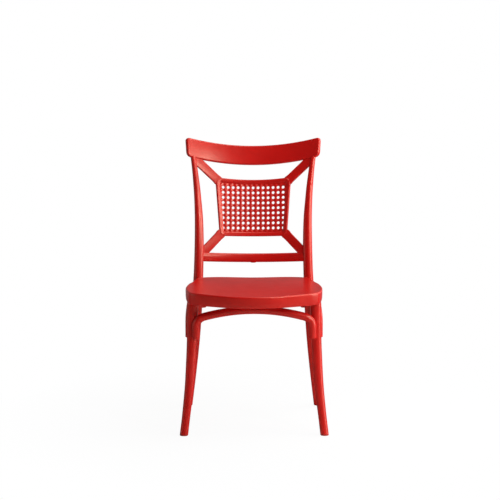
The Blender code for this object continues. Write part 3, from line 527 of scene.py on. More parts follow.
CREST_TOP_CORNER = 0.0115
CREST_BASE_CORNER = 0.014
CREST_END_ZONE = 0.018
CREST_EDGE = 0.0045
CREST_SLANT = 0.07  # of its ends, from upright
CREST_SLANT_HEIGHT = 0.03  # above its base, where the slant leaves the ends in place


def rounding(radius, left_over):
    """How far a rounded corner comes in, this far from the end."""
    if left_over >= radius:
        return 0.0
    return radius - math.sqrt(radius**2 - (radius - left_over) ** 2)


def crest_mesh():
    end = CREST_HALF_SPAN
    turns = [math.pi / 2 * k / 16 for k in range(17)]
    ends = [end - CREST_BASE_CORNER * (1 - math.sin(turn)) for turn in turns]
    rings = []
    for x in mirrored(spread(0, end - CREST_END_ZONE, 44)[1:] + ends):
        left_over = end - abs(x)
        top = crest_top(x) - rounding(CREST_TOP_CORNER, left_over)
        base = crest_base(x) + rounding(CREST_BASE_CORNER, left_over)
        thick = CREST_THICKNESS / 2 - rounding(CREST_EDGE, left_over)
        radius = min(CREST_EDGE, thick * 0.9)
        middle = (top + base) / 2
        slant = CREST_SLANT * x / end
        ring = []
        for y, z in rounded_box(thick, (top - base) / 2, radius, 6):
            lean_out = slant * (middle + z - crest_base(x) - CREST_SLANT_HEIGHT)
            ring.append((x + lean_out, y, middle + z))
        rings.append(ring)
    return bend_onto_back(mesh_from_rings("crest", rings))


dress(put("crest_rail_skin", crest_mesh()), ["crest_rail"], sharp=50)


# Lower rail.

RAIL_SQUARE = 2.7
RAIL_INSET = 0.006  # of its ends, from the posts' middles
NUB_STEP = 0.0012
NUB_END = 0.0102


def rail_mesh():
    near = [NUB_STEP * k for k in range(1, 9)]
    rings = []
    for x in mirrored(near + spread(NUB_END, POST_X - RAIL_INSET, 34)):
        top = rail_top(x)
        base = rail_base(x)
        ring = []
        for y, z in oval(RAIL_THICKNESS / 2, (top - base) / 2, 36, RAIL_SQUARE):
            ring.append((x, y, (top + base) / 2 + z))
        rings.append(ring)
    return bend_onto_back(mesh_from_rings("rail", rings))


dress(put("lower_back_rail_skin", rail_mesh()), ["lower_back_rail"])


# Panel: its rim and its cane-pattern field.


def filleted(corners, radius, steps):
    """Rounds the corners whose flag is set, and keeps the other points."""
    points = []
    count = len(corners)
    for i, (x, z, soft) in enumerate(corners):
        here = Vector((x, z))
        if not soft:
            points.append(here)
            continue
        before = (Vector(corners[i - 1][:2]) - here).normalized()
        after = (Vector(corners[(i + 1) % count][:2]) - here).normalized()
        half = before.angle(after) / 2
        centre = here + (before + after).normalized() * (radius / math.sin(half))
        first = here + before * (radius / math.tan(half)) - centre
        last = here + after * (radius / math.tan(half)) - centre
        sweep = first.angle_signed(last)
        start = math.atan2(first.y, first.x)
        for k in range(steps + 1):
            turn = start - sweep * k / steps
            points.append(centre + radius * Vector((math.cos(turn), math.sin(turn))))
    return points


def panel_side(z):
    """Half the panel's width at this height."""
    middle = SEAT_HEIGHT + PANEL_BASE + PANEL_HEIGHT / 2
    return PANEL_HALF_WIDTH + PANEL_TAPER * (z - middle)


def panel_top(x):
    return SEAT_HEIGHT + PANEL_BASE + PANEL_HEIGHT + PANEL_TOP_CURVE * x**2


def panel_base(x):
    return SEAT_HEIGHT + PANEL_BASE + PANEL_BASE_CURVE * x**2


def panel_corner(edge):
    """Where a side of the panel meets its top or base edge."""
    x = PANEL_HALF_WIDTH
    for _ in range(6):
        x = panel_side(edge(x))
    return x, edge(x)


def panel_corners():
    """The outline before its corners are rounded, anticlockwise from the lower right."""
    low_x, low_z = panel_corner(panel_base)
    high_x, high_z = panel_corner(panel_top)
    right = [(panel_side(z), z, False) for z in spread(low_z, high_z, 24)[3:-3]]
    left = [(-panel_side(z), z, False) for z in spread(high_z, low_z, 24)[3:-3]]
    top = [(x, panel_top(x), False) for x in spread(high_x, -high_x, 36)[4:-4]]
    base = [(x, panel_base(x), False) for x in spread(-low_x, low_x, 36)[4:-4]]
    corners = [(low_x, low_z, True)] + right + [(high_x, high_z, True)] + top
    return corners + [(-high_x, high_z, True)] + left + [(-low_x, low_z, True)] + base


def inset_directions(points):
    """For each point, the step that moves it in by one unit of distance from both edges."""
    steps = []
    count = len(points)
    for i, here in enumerate(points):
        into = (here - points[i - 1]).normalized()
        out = (points[(i + 1) % count] - here).normalized()
        first = Vector((-into.y, into.x))
        second = Vector((-out.y, out.x))
        mean = (first + second).normalized()
        steps.append(mean / mean.dot(first))
    return steps


def panel_loop(inset, radius, steps=12):
    """The panel's outline, inset and with rounded corners."""
    corners = panel_corners()
    directions = inset_directions([Vector(corner[:2]) for corner in corners])
    moved = []
    for (x, z, soft), step in zip(corners, directions):
        moved.append((x + step.x * inset, z + step.y * inset, soft))
    return filleted(moved, radius, steps)


PANEL_OUTER = panel_loop(0, PANEL_CORNER)
PANEL_INNER = panel_loop(RIM_WIDTH, RIM_CORNER)

# The rim's front half, from its outer edge to its inner one: share of the width, share of
# half the thickness. The rear half is the same.
RIM_SECTION = (
    (0.0, 0.1),
    (0.006, 0.32),
    (0.02, 0.54),
    (0.045, 0.7),
    (0.085, 0.84),
    (0.14, 0.94),
    (0.21, 0.99),
    (0.3, 1.0),
    (0.42, 0.97),
    (0.56, 0.9),
    (0.7, 0.8),
    (0.82, 0.69),
    (0.92, 0.56),
    (1.0, 0.38),
)


def rim_mesh():
    half = RIM_THICKNESS / 2
    section = list(RIM_SECTION) + [(w, -y) for w, y in reversed(RIM_SECTION)]
    rings = []
    for outer, inner in zip(PANEL_OUTER, PANEL_INNER):
        ring = []
        for inward, y in section:
            edge = outer.lerp(inner, inward)
            ring.append((edge.x, y * half, edge.y))
        rings.append(ring)
    return bend_onto_back(mesh_from_rings("rim", rings, around=True))


FIELD_MIDDLE = SEAT_HEIGHT + PANEL_BASE + PANEL_HEIGHT * 0.5045
FIELD_CURVE = 0.05
FIELD_GAP = 0.0055  # from the field's edge to the panel's side, under the rim
KNOT_HEIGHT = 0.0014
BRIDGE_FALL = 0.0006
SPOKES = 24
MARGIN = (0.0, 0.14, 0.28, 0.42, 0.54)  # around the field, in hole pitches
MARGIN_LEAST = 0.02
SAME_PLACE = 4000  # steps to a hole pitch, within which places share a vertex

# Each hole's rings, from its edge out to its cell's edge: share of the way, share of the
# thickness, so that the edge is rounded.
HOLE_RINGS = (
    (0.0, 0.42),
    (0.05, 0.68),
    (0.14, 0.87),
    (0.28, 0.97),
    (0.6, 1.0),
    (1.0, 1.0),
)


def field_relief(a, b):
    """Height of the woven relief at a place counted in holes across and up."""
    across = math.cos(2 * math.pi * a)
    up = math.cos(2 * math.pi * b)
    knot = ((1 - across) / 2 * (1 - up) / 2) ** 1.3
    bridge = ((1 + across) / 2 * (1 - up) / 2 + (1 - across) / 2 * (1 + up) / 2) ** 2
    return KNOT_HEIGHT * knot - BRIDGE_FALL * bridge


def field_place(a, b):
    """The flat layout's (x, z) of a place counted in holes across and up."""
    x = a * HOLE_PITCH
    return x, FIELD_MIDDLE + b * HOLE_PITCH + FIELD_CURVE * x**2


def square_reach(turn):
    """How far a unit square's edge is from its centre in this direction."""
    return 0.5 / max(abs(math.cos(turn)), abs(math.sin(turn)))


def field_mesh():
    """The pane: a cell round each hole, then plain margins that the rim holds."""
    work = bmesh.new()
    seen = {}
    last_column = (HOLE_COLUMNS - 1) / 2
    last_row = (HOLE_ROWS - 1) / 2
    side = last_column + 0.5
    top = last_row + 0.5
    hole = HOLE_RADIUS / HOLE_PITCH

    def vertex(a, b, face, body=1.0):
        """The shared vertex of the front (-1) or the rear (1) at a place."""
        key = (round(a * SAME_PLACE), round(b * SAME_PLACE), face)
        if key not in seen:
            x, z = field_place(a, b)
            y = face * body * (FIELD_THICKNESS / 2 + field_relief(a, b))
            seen[key] = work.verts.new((x, y, z))
        return seen[key]

    def patch(corners):
        """A patch of the front, and the same patch of the rear."""
        for face in (-1, 1):
            work.faces.new([vertex(*corner[:2], face, *corner[2:]) for corner in corners])

    def spoke(column, row, turn):
        """Places from a hole's edge out to its cell's edge."""
        reach = square_reach(turn)
        line = []
        for share, body in HOLE_RINGS:
            radius = hole + (reach - hole) * share
            a = column - last_column + radius * math.cos(turn)
            line.append((a, row - last_row + radius * math.sin(turn), body))
        return line

    def cell(column, row):
        """The rounded edge and the wall of one hole."""
        turns = spread(0, 2 * math.pi, SPOKES)
        for turn, following in zip(turns, turns[1:]):
            first = spoke(column, row, turn)
            second = spoke(column, row, following)
            for ring in range(len(HOLE_RINGS) - 1):
                patch((first[ring], first[ring + 1], second[ring + 1], second[ring]))
            wall = []
            for line, face in ((first, -1), (second, -1), (second, 1), (first, 1)):
                a, b, body = line[0]
                wall.append(vertex(a, b, face, body))
            work.faces.new(wall)

    def wide(b):
        """The margin's width at the sides, wider towards the panel's top."""
        z = field_place(side, b)[1]
        room = (panel_side(z) - FIELD_GAP) / HOLE_PITCH - side
        return max(MARGIN_LEAST, room) / MARGIN[-1]

    def strip(first, second):
        for i in range(len(first) - 1):
            patch((first[i], first[i + 1], second[i + 1], second[i]))

    def edge_places(count, last, end):
        """Places along the field's edge, at the spokes' ends."""
        steps = [0.5 * math.tan(math.radians(angle)) for angle in range(-45, 45, 15)]
        return [k - last + step for k in range(count) for step in steps] + [end]

    for row in range(HOLE_ROWS):
        for column in range(HOLE_COLUMNS):
            cell(column, row)
    across = edge_places(HOLE_COLUMNS, last_column, side)
    up = edge_places(HOLE_ROWS, last_row, top)
    bands = list(zip(MARGIN, MARGIN[1:]))
    for sign in (-1, 1):
        for near, far in bands:
            strip(
                [(a, sign * (top + near)) for a in across],
                [(a, sign * (top + far)) for a in across],
            )
            strip(
                [(sign * (side + near * wide(b)), b) for b in up],
                [(sign * (side + far * wide(b)), b) for b in up],
            )
    for sa in (-1, 1):
        for sb in (-1, 1):
            reach = wide(sb * top)
            for a0, a1 in bands:
                for b0, b1 in bands:
                    corner = ((a0, b0), (a1, b0), (a1, b1), (a0, b1))
                    patch([(sa * (side + a * reach), sb * (top + b)) for a, b in corner])

    boundary = [edge for edge in work.edges if len(edge.link_faces) == 1]
    behind = {made: seen.get((a, b, -face)) for (a, b, face), made in seen.items()}
    for edge in boundary:
        first, second = edge.verts
        if first.co.y < 0 and behind[first] and behind[second]:
            work.faces.new((first, second, behind[second], behind[first]))
    return bend_onto_back(finished(work, "field"))


dress(put("cane_field_skin", field_mesh()), ["cane_back_panel"], sharp=60)
dress(put("panel_rim_skin", rim_mesh()), ["cane_back_panel"], sharp=60)


# The X's four arms.

PANEL_HIGH = Vector(panel_corner(panel_top))
PANEL_LOW = Vector(panel_corner(panel_base))
UPPER_START = PANEL_HIGH + Vector((-0.011, -0.0121))
LOWER_START = PANEL_LOW + Vector((-0.005, 0.0081))
UPPER_Z = SEAT_HEIGHT + BACK_RISE * 0.871
UPPER_END = Vector((post_x(UPPER_Z) - 0.0048, UPPER_Z + 0.0072))
LOWER_Z = SEAT_HEIGHT + BACK_RISE * 0.164
LOWER_END = Vector((post_x(LOWER_Z) - 0.0069, LOWER_Z + 0.0011))
ARM_UNDER_RIM = 0.004
ARM_EDGE = 0.0018
ARM_FLARE = 0.0018
FLARE_LENGTH = 0.012
FLARE_PLACE = 0.0067
TRIM_REACH = 0.02


def bar(start, end, widths, thickness, edge, steps):
    """A flat bar between two (x, z) points of the flat layout, flared at the panel."""
    along = (end - start).normalized()
    length = (end - start).length
    flare_at = FLARE_PLACE / length
    across = Vector((-along.y, along.x))
    rings = []
    for share in spread(0, 1, steps):
        centre = start.lerp(end, share)
        half = (widths[0] + (widths[1] - widths[0]) * share) / 2
        half += ARM_FLARE * max(0.0, 1 - abs(share - flare_at) * length / FLARE_LENGTH) ** 2
        ring = []
        for y, w in rounded_box(thickness / 2, half, edge, 4):
            place = centre + across * w
            ring.append((place.x, y, place.y))
        rings.append(ring)
    return mesh_from_rings("bar", rings)


def arm(name, side, upper):
    """One arm, cut off where it meets the panel under its rim."""
    start, end = (UPPER_START, UPPER_END) if upper else (LOWER_START, LOWER_END)
    along = (end - start).normalized()
    start = start - along * ARM_UNDER_RIM
    start = Vector((side * start.x, start.y))
    end = Vector((side * end.x, end.y))
    width = ARM_UPPER_WIDTH if upper else ARM_LOWER_WIDTH
    widths = (width * 0.985, width * 1.02) if upper else (width, width)
    made = put(name, bar(start, end, widths, BACK_PLATE, ARM_EDGE, 26))
    rings = []
    for y in (-TRIM_REACH, TRIM_REACH):
        loop = panel_loop(ARM_UNDER_RIM, PANEL_CORNER - ARM_UNDER_RIM, 6)
        rings.append([(p.x, y, p.y) for p in loop])
    baked(made, put("trim", mesh_from_rings("trim", rings)), "DIFFERENCE")
    bend_onto_back(made.data)
    return made


for side, hand in HANDS:
    for upper, place in ((True, "upper"), (False, "lower")):
        node_name = "back_arm_" + place + "_" + hand
        dress(arm(node_name + "_skin", side, upper), [node_name])


# Seat shell.


def seat_outline():
    """The whole seat's outline, on a smooth curve through SEAT_OUTLINE's points."""
    right = []
    for i, (x, y, steps) in enumerate(SEAT_OUTLINE[:-1]):
        previous = SEAT_OUTLINE[i - 1] if i else (-SEAT_OUTLINE[1][0], SEAT_OUTLINE[1][1])
        following = SEAT_OUTLINE[i + 1]
        beyond = SEAT_OUTLINE[i + 2] if i + 2 < len(SEAT_OUTLINE) else (-x, y)
        p0 = Vector(previous[:2])
        p1 = Vector((x, y))
        p2 = Vector(following[:2])
        p3 = Vector(beyond[:2])
        gap0 = max((p1 - p0).length, 1e-6)
        gap1 = (p2 - p1).length
        gap2 = max((p3 - p2).length, 1e-6)
        slope1 = ((p1 - p0) / gap0 * gap1 + (p2 - p1) / gap1 * gap0) / (gap0 + gap1)
        slope2 = ((p2 - p1) / gap1 * gap2 + (p3 - p2) / gap2 * gap1) / (gap1 + gap2)
        steps *= OUTLINE_FINENESS
        for k in range(steps):
            s = k / steps
            point = p1 * (2 * s**3 - 3 * s**2 + 1) + p2 * (3 * s**2 - 2 * s**3)
            point += slope1 * gap1 * (s**3 - 2 * s**2 + s)
            point += slope2 * gap1 * (s**3 - s**2)
            right.append(point)
    half = (SEAT_WIDTH / 2, SEAT_DEPTH / 2)
    points = [Vector((p.x * half[0], p.y * half[1])) for p in right]
    points.append(Vector((0, half[1])))
    points += [Vector((-p.x, p.y)) for p in reversed(points[1:-1])]
    return points


SEAT_POINTS = seat_outline()
SEAT_STEPS = inset_directions(SEAT_POINTS)


def seat_top(x, y):
    """Height of the seat's top, which falls to the rear and is dished across."""
    back_share = y / SEAT_DEPTH + 0.5
    side_share = x / (SEAT_WIDTH / 2)
    return SEAT_HEIGHT - SEAT_FALL * back_share + SEAT_DISH * side_share**2


def seat_ring(inset, drop, scale=1.0):
    """A ring inset from the outline, a drop below the seat's top."""
    ring = []
    for point, step in zip(SEAT_POINTS, SEAT_STEPS):
        place = (point + step * inset) * scale
        ring.append((place.x, place.y, seat_top(place.x, place.y) - drop))
    return ring


def skirt_ring(inset, share, rise=0.0):
    """A ring at a share of the way from the skirt's base to the seat's top."""
    ring = []
    for x, y, top in seat_ring(inset, 0.0):
        ring.append((x, y, SKIRT_BASE + rise + (top - SKIRT_BASE) * share))
    return ring


# How far the barrel-shaped skirt stands in from its widest line, by share of its height.
SKIRT_INSETS = (
    (0.0, 0.003),
    (0.06, 0.0018),
    (0.3, 0.0004),
    (0.6, 0.0),
    (0.8, 0.0),
    (0.9, 0.0003),
)

# The top's rounded edge: inset from the outline, drop below the top.
SEAT_EDGE = (
    (0.0002, 0.0045),
    (0.0005, 0.0032),
    (0.001, 0.0022),
    (0.0017, 0.0014),
    (0.0026, 0.0008),
    (0.0037, 0.0003),
    (0.005, 0.0),
    (0.0063, 0.0),
    (0.0078, SEAT_SINK * 0.35),
    (0.0105, SEAT_SINK * 0.8),
    (0.0145, SEAT_SINK),
)
SEAT_MIDDLE = (0.88, 0.8, 0.7, 0.6, 0.5, 0.4, 0.3, 0.2, 0.1, 0.02)
SKIRT_LIP = 0.0004
DECK_DROP = SEAT_WALL + SEAT_SINK


def seat_mesh():
    """The shell, from under its deck, down inside the skirt, and up and over its top."""
    wall = SEAT_WALL
    rings = [seat_ring(0.0, DECK_DROP, scale) for scale in (0.02, 0.4, 0.7)]
    rings += [
        seat_ring(wall + 0.0115, DECK_DROP),
        seat_ring(wall + 0.0065, wall + 0.0012),
        seat_ring(wall + 0.0035, wall + 0.004),
        skirt_ring(wall + 0.0003, 0.6),
        skirt_ring(wall + 0.0012, 0.3),
        skirt_ring(wall + 0.0028, 0.0, SKIRT_LIP),
        skirt_ring(wall + 0.0022, 0.0),
        skirt_ring(0.0036, 0.0),
        skirt_ring(0.0028, 0.0, SKIRT_LIP),
    ]
    rings += [skirt_ring(smooth(SKIRT_INSETS, k, 1), k) for k in spread(0.06, 0.86, 18)]
    rings += [seat_ring(inset, drop) for inset, drop in SEAT_EDGE]
    rings += [seat_ring(0.0, SEAT_SINK, scale) for scale in SEAT_MIDDLE]
    return mesh_from_rings("seat", rings)


def boss_outline(centre):
    """Eight sides round a leg's end, with one flat turned towards the middle."""
    turn = math.atan2(-centre.y * 0.4, -centre.x)
    radius = BOSS_RADIUS / math.cos(math.pi / 8)
    outline = []
    for k in range(8):
        at = turn + math.pi / 4 * (k + 0.5)
        outline.append((centre.x + radius * math.cos(at), centre.y + radius * math.sin(at)))
    return outline


def leg_share(z):
    """A height as a share of the way up to the skirt."""
    return z / SKIRT_BASE


def leg_centre(z, side=1):
    x = FRONT_LEG_X + smooth(LEG_STATIONS, leg_share(z), 1)
    y = FRONT_LEG_Y - smooth(LEG_STATIONS, leg_share(z), 2)
    return Vector((side * x, y, z))


def post_centre(z, side=1):
    return Vector((side * post_x(z), post_y(z), z))


def inner_corner(side):
    """Where a post stands against the seat's rear corner, and the way out to it."""
    post = post_centre(SKIRT_BASE + SKIRT_HEIGHT / 2, side)
    near = min(SEAT_POINTS, key=lambda point: (point - post.xy).length)
    return near, (post.xy - near).normalized()


BOSS_RISE = 0.002  # of the bosses and pads, above the skirt's base
DECK_BITE = 0.0015  # of the bosses and pads, into the deck
PAD_IN_WALL = 0.0022
PAD_HALF_WIDTH = 0.012

seat = put("seat_shell_skin", seat_mesh())


def add_under_deck(name, outline, at):
    """Joins a boss or pad to the seat, from near the skirt's base up into the deck."""
    deck = seat_top(at.x, at.y) - DECK_DROP
    heights = (SKIRT_BASE + BOSS_RISE, deck + DECK_BITE)
    rings = [[(x, y, z) for x, y in outline] for z in heights]
    baked(seat, put(name, mesh_from_rings(name, rings)), "UNION")


for side in (1, -1):
    centre = leg_centre(SKIRT_BASE, side)
    add_under_deck("boss", boss_outline(centre), centre)
    near, out = inner_corner(side)
    start = near - out * (SEAT_WALL + PAD_DEPTH)
    end = near - out * PAD_IN_WALL
    across = Vector((-out.y, out.x)) * PAD_HALF_WIDTH
    corners = (start - across, start + across, end + across, end - across)
    add_under_deck("pad", corners, near)
dress(seat, ["seat"])


# Collars: the fillet where each post passes the seat's top.

COLLAR_REACH = 0.006
COLLAR_HEIGHT = 0.005
COLLAR_STEPS = 8
COLLAR_IN_POST = 0.0004
COLLAR_IN_SEAT = 0.0003
COLLAR_DEPTH = 0.002
ROOM_NONE = 0.004  # to the seat's edge, where the collar has faded out
ROOM_FADE = 0.006


def inside_depth(place):
    """Rough distance of a place inside the seat's outline."""
    near = min(range(len(SEAT_POINTS)), key=lambda i: (SEAT_POINTS[i] - place).length)
    inward = SEAT_STEPS[near].normalized()
    return (place - SEAT_POINTS[near]).dot(inward)


def collar_mesh(side):
    """A fillet from the seat's top up the post, fading out at the seat's edge."""
    base_z = SEAT_HEIGHT - SEAT_FALL
    rings = []
    core = [bent(*p) for p in post_ring(base_z, side)]
    centre = post_centre(base_z, side)
    for k in range(COLLAR_STEPS + 1):
        turn = math.pi / 2 * k / COLLAR_STEPS
        reach = COLLAR_REACH * (1 - math.sin(turn))
        rise = COLLAR_HEIGHT * (1 - math.cos(turn))
        ring = []
        for point in core:
            flat = Vector((point.x, point.y))
            out = (flat - centre.xy).normalized()
            room = inside_depth(flat + out * COLLAR_REACH)
            share = ease((room - ROOM_NONE) / ROOM_FADE)
            spot = flat + out * (reach * share - COLLAR_IN_POST)
            z = seat_top(spot.x, spot.y) - COLLAR_IN_SEAT + rise * share
            ring.append((spot.x, spot.y, z))
        rings.append(ring)
    low = [(x, y, z - COLLAR_DEPTH) for x, y, z in rings[0]]
    return mesh_from_rings("collar", [low] + rings)


for side, hand in HANDS:
    dress(put("post_collar_" + hand, collar_mesh(side)), ["seat"])


# Front legs.

LEG_SIDES = 44
LEG_STEPS = 60
LEG_SQUARE = 2.2
LEG_START = GLIDE_HEIGHT + CLEARANCE
LEG_END = SKIRT_BASE + 0.003
LEG_TOP_SHRINK = 0.001


def leg_half(z):
    """Half a front leg's width and half its depth, which are the same."""
    half = smooth(LEG_STATIONS, leg_share(z), 3) / 2
    return half, half


def leg_mesh(side):
    rings = []
    for z in [LEG_START] + spread(LEG_START + FOOT_EDGE, LEG_END, LEG_STEPS):
        below = min(z, SKIRT_BASE)
        half = leg_half(below)[0]
        if z == LEG_START:
            half -= FOOT_EDGE
        elif z > SKIRT_BASE:
            half -= LEG_TOP_SHRINK
        centre = leg_centre(below, side)
        outline = oval(half, half, LEG_SIDES, LEG_SQUARE)
        rings.append([(centre.x + side * a, centre.y + b, z) for a, b in outline])
    return mesh_from_rings("leg", rings)


for side, hand in HANDS:
    dress(put("front_leg_" + hand + "_skin", leg_mesh(side)), ["front_leg_" + hand])


# Glides.

# A glide's side, from the floor up: height, and how far it stands in from the leg.
GLIDE_PROFILE = (
    (0.0, 0.0012),
    (0.0003, 0.0006),
    (0.001, 0.0002),
    (GLIDE_HEIGHT - 0.0006, 0.0),
    (GLIDE_HEIGHT, 0.0005),
)
GLIDE_SIDES = 40


def glide_mesh(centre_at, half_at, side, square):
    """A cap below a leg, with the leg's own section."""
    rings = []
    for z, shrink in GLIDE_PROFILE:
        centre = centre_at(z, side)
        half_x, half_y = half_at(z)
        outline = oval(half_x - shrink, half_y - shrink, GLIDE_SIDES, square)
        rings.append([(centre.x + side * a, centre.y + b, z) for a, b in outline])
    return mesh_from_rings("glide", rings)


def sheared(mesh):
    """Turns a rear glide with its leg, as the back's curve turns the post."""
    for vertex in mesh.vertices:
        x, y, z = vertex.co
        vertex.co = bent(x, y - post_y(z), z)
    return mesh


for side, hand in HANDS:
    glides = {
        "front": glide_mesh(leg_centre, leg_half, side, LEG_SQUARE),
        "rear": sheared(glide_mesh(post_centre, post_half, side, POST_SQUARE)),
    }
    for place, glide in glides.items():
        name = "foot_glide_" + place + "_" + hand
        dress(put(name + "_skin", glide), [name], GLIDE_PLASTIC)


# Braces.

BRACE_SIDES = 36
BRACE_EDGE = 0.0009


def brace_path(first, last, crown, foot):
    """Points along a brace from one foot, over its crown, to the other foot."""
    span = (last - first).length
    half = span / 2
    curve = BRACE_FALL / half**2
    bend = min(BRACE_BEND, 0.8 * (crown - foot - BRACE_FALL))
    start = half - bend
    for _ in range(8):
        fall = math.atan(2 * curve * start)
        start = half - bend * (1 - math.sin(fall))
    fall = math.atan(2 * curve * start)
    points = [(q, crown - curve * q**2) for q in spread(0, start, 28)]
    centre_q = start - bend * math.sin(fall)
    centre_z = crown - curve * start**2 - bend * math.cos(fall)
    for turn in spread(fall, math.pi / 2, 20)[1:]:
        q = centre_q + bend * math.sin(turn)
        points.append((q, centre_z + bend * math.cos(turn)))
    for z in spread(centre_z, foot, 6)[1:]:
        points.append((half, z))
    whole = [(-q, z) for q, z in reversed(points[1:])] + points
    middle = ((first + last) / 2).to_3d()
    along = (last - first).normalized().to_3d()
    return [middle + along * q + Vector((0, 0, z)) for q, z in whole], along


def tube_mesh(path, sideways, radius, edge):
    """A round bar along a path in an upright plane, with softened ends."""
    rings = []
    across = Vector((-sideways.y, sideways.x, 0))

    def ring(centre, way, r):
        up = way.cross(across).normalized()
        made = []
        for i in range(BRACE_SIDES):
            turn = 2 * math.pi * i / BRACE_SIDES
            made.append(centre + across * (r * math.cos(turn)) + up * (r * math.sin(turn)))
        return made

    def end(centre, way, inward):
        """Rings from the very end inwards, over its softened edge."""
        made = []
        for turn in spread(0, math.pi / 2, 4)[:-1]:
            place = centre + way * (inward * edge * (1 - math.cos(turn)))
            made.append(ring(place, way, radius - edge * (1 - math.sin(turn))))
        return made + [ring(centre + way * (inward * edge), way, radius)]

    last = len(path) - 1
    for i, centre in enumerate(path):
        way = (path[min(i + 1, last)] - path[max(i - 1, 0)]).normalized()
        if i == 0:
            rings += end(centre, way, 1)
        elif i == last:
            rings += reversed(end(centre, way, -1))
        else:
            rings.append(ring(centre, way, radius))
    return mesh_from_rings("tube", rings)


def beside(centre, direction, distance):
    """A brace end's middle, standing against a leg on one side of it."""
    return centre.xy + Vector(direction).normalized() * distance


# From a leg's centre to the middle of a brace's end beside it.
FRONT_BRACE_REACH = BRACE_RADIUS + 0.0117
BRACE_REACH = BRACE_RADIUS + 0.0144

# Each brace's end: its brace, what it stands against, the way to it from there (outwards,
# backwards) and its reach.
BRACE_ENDS = (
    ("front", "front", leg_centre, -0.5, -0.87, FRONT_BRACE_REACH),
    ("side_front", "side", leg_centre, 0.36, 0.933, BRACE_REACH),
    ("side_rear", "side", post_centre, 0.45, -0.9, BRACE_REACH),
    ("rear", "rear", post_centre, -0.6, 0.8, BRACE_REACH),
)


def brace_levels(kind):
    """Heights of a brace's crown and of its feet."""
    return [SKIRT_BASE - drop for drop in BRACE_DROPS[kind]]


ends = {}
for name, kind, centre_at, outwards, backwards, reach in BRACE_ENDS:
    for side in (1, -1):
        against = centre_at(sum(brace_levels(kind)) / 2, side)
        ends[name, side] = beside(against, (side * outwards, backwards), reach)


def brace(name, kind, first, last):
    path, sideways = brace_path(ends[first], ends[last], *brace_levels(kind))
    made = put(name + "_skin", tube_mesh(path, sideways, BRACE_RADIUS, BRACE_EDGE))
    dress(made, [name])


brace("front_brace", "front", ("front", -1), ("front", 1))
brace("rear_brace", "rear", ("rear", -1), ("rear", 1))
for side, hand in HANDS:
    brace("side_brace_" + hand, "side", ("side_front", side), ("side_rear", side))


# The screws stay as imported, in bright steel.

for name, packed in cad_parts.items():
    if name.startswith("seat_screw"):
        packed.data.materials.clear()
        packed.data.materials.append(SCREW_STEEL)


# Studio: floor, light and camera.

CHAIR_MIDDLE = Vector((0.0, 0.0, 0.5))
FLOOR_RADIUS = 9.0
FLOOR_LEVEL = -0.0005
FLOOR_GREY = 0.88
FLOOR_MIRRORED = 0.06
SHADOW_SHARE = 0.06
SHADOW_NEAR = 0.4
SHADOW_FAR = 0.9
BACK_START = 1.0
BACK_END = 8.0
WORLD = (("X", 1, 0.35), ("X", -1, 0.06), ("Y", 1, 0.45))
MIRRORED_WORLD = (("X", 1, 0.03), ("X", -1, 0.02), ("Y", 1, 0.17))
WALL_START = -0.2
WALL_END = 0.8


def maths(tree, operation, x, y, first, second):
    inputs = {0: first, 1: second}
    return node(tree, "ShaderNodeMath", x, y, inputs, operation=operation).outputs[0]


def mixed(tree, x, y, share, first, second):
    inputs = {0: share, 1: first, 2: second}
    return node(tree, "ShaderNodeMixShader", x, y, inputs).outputs[0]


def sight(tree, x, y):
    """Whether a ray is from the camera, and whether it is mirrored or passed through."""
    rays = node(tree, "ShaderNodeLightPath", x, y).outputs
    shiny = maths(
        tree, "MAXIMUM", x + 250, y - 100, rays["Is Glossy Ray"], rays["Is Transmission Ray"]
    )
    return rays["Is Camera Ray"], shiny


def parts_of(tree, x, y, vector):
    return node(tree, "ShaderNodeSeparateXYZ", x, y, {"Vector": vector}).outputs


def floor_material():
    """A white floor in view and in the reflections from behind, grey for bounced light."""
    material = bpy.data.materials.new("pale_floor")
    material.use_nodes = True
    tree = material.node_tree
    tree.nodes.clear()
    in_view, shiny = sight(tree, -700, 300)
    grey = ramp(tree, -250, 0, shiny, FLOOR_GREY, FLOOR_MIRRORED)
    plain = node(tree, "ShaderNodeBsdfDiffuse", 0, 0, {"Color": grey}).outputs[0]
    glow = node(tree, "ShaderNodeEmission", 0, -150, {"Strength": 1.0}).outputs[0]
    place = node(tree, "ShaderNodeTexCoord", -900, -100).outputs["Object"]
    back = parts_of(tree, -700, -100, place)["Y"]
    behind = ramp(tree, -450, -100, back, 0.0, 1.0, BACK_START, BACK_END)
    shiny_behind = maths(tree, "MULTIPLY", -200, 100, shiny, behind)

    # In view the floor glows, all but a thin share near the chair that takes its shadow.
    far = node(tree, "ShaderNodeVectorMath", -700, -350, {0: place}, operation="LENGTH")
    far = far.outputs["Value"]
    seen = ramp(tree, -450, -350, far, 1.0 - SHADOW_SHARE, 1.0, SHADOW_NEAR, SHADOW_FAR)
    glow_in_view = maths(tree, "MULTIPLY", -200, -350, in_view, seen)
    either = maths(tree, "MAXIMUM", 50, 250, glow_in_view, shiny_behind)
    surface = mixed(tree, 500, 0, either, plain, glow)
    node(tree, "ShaderNodeOutputMaterial", 800, 0, {"Surface": surface})
    return material


floor_mesh = bpy.data.meshes.new("floor")
work = bmesh.new()
bmesh.ops.create_circle(work, cap_ends=True, segments=96, radius=FLOOR_RADIUS)
work.to_mesh(floor_mesh)
work.free()
floor = put("floor", floor_mesh)
floor.location = (0, 0, FLOOR_LEVEL)
floor.data.materials.append(floor_material())


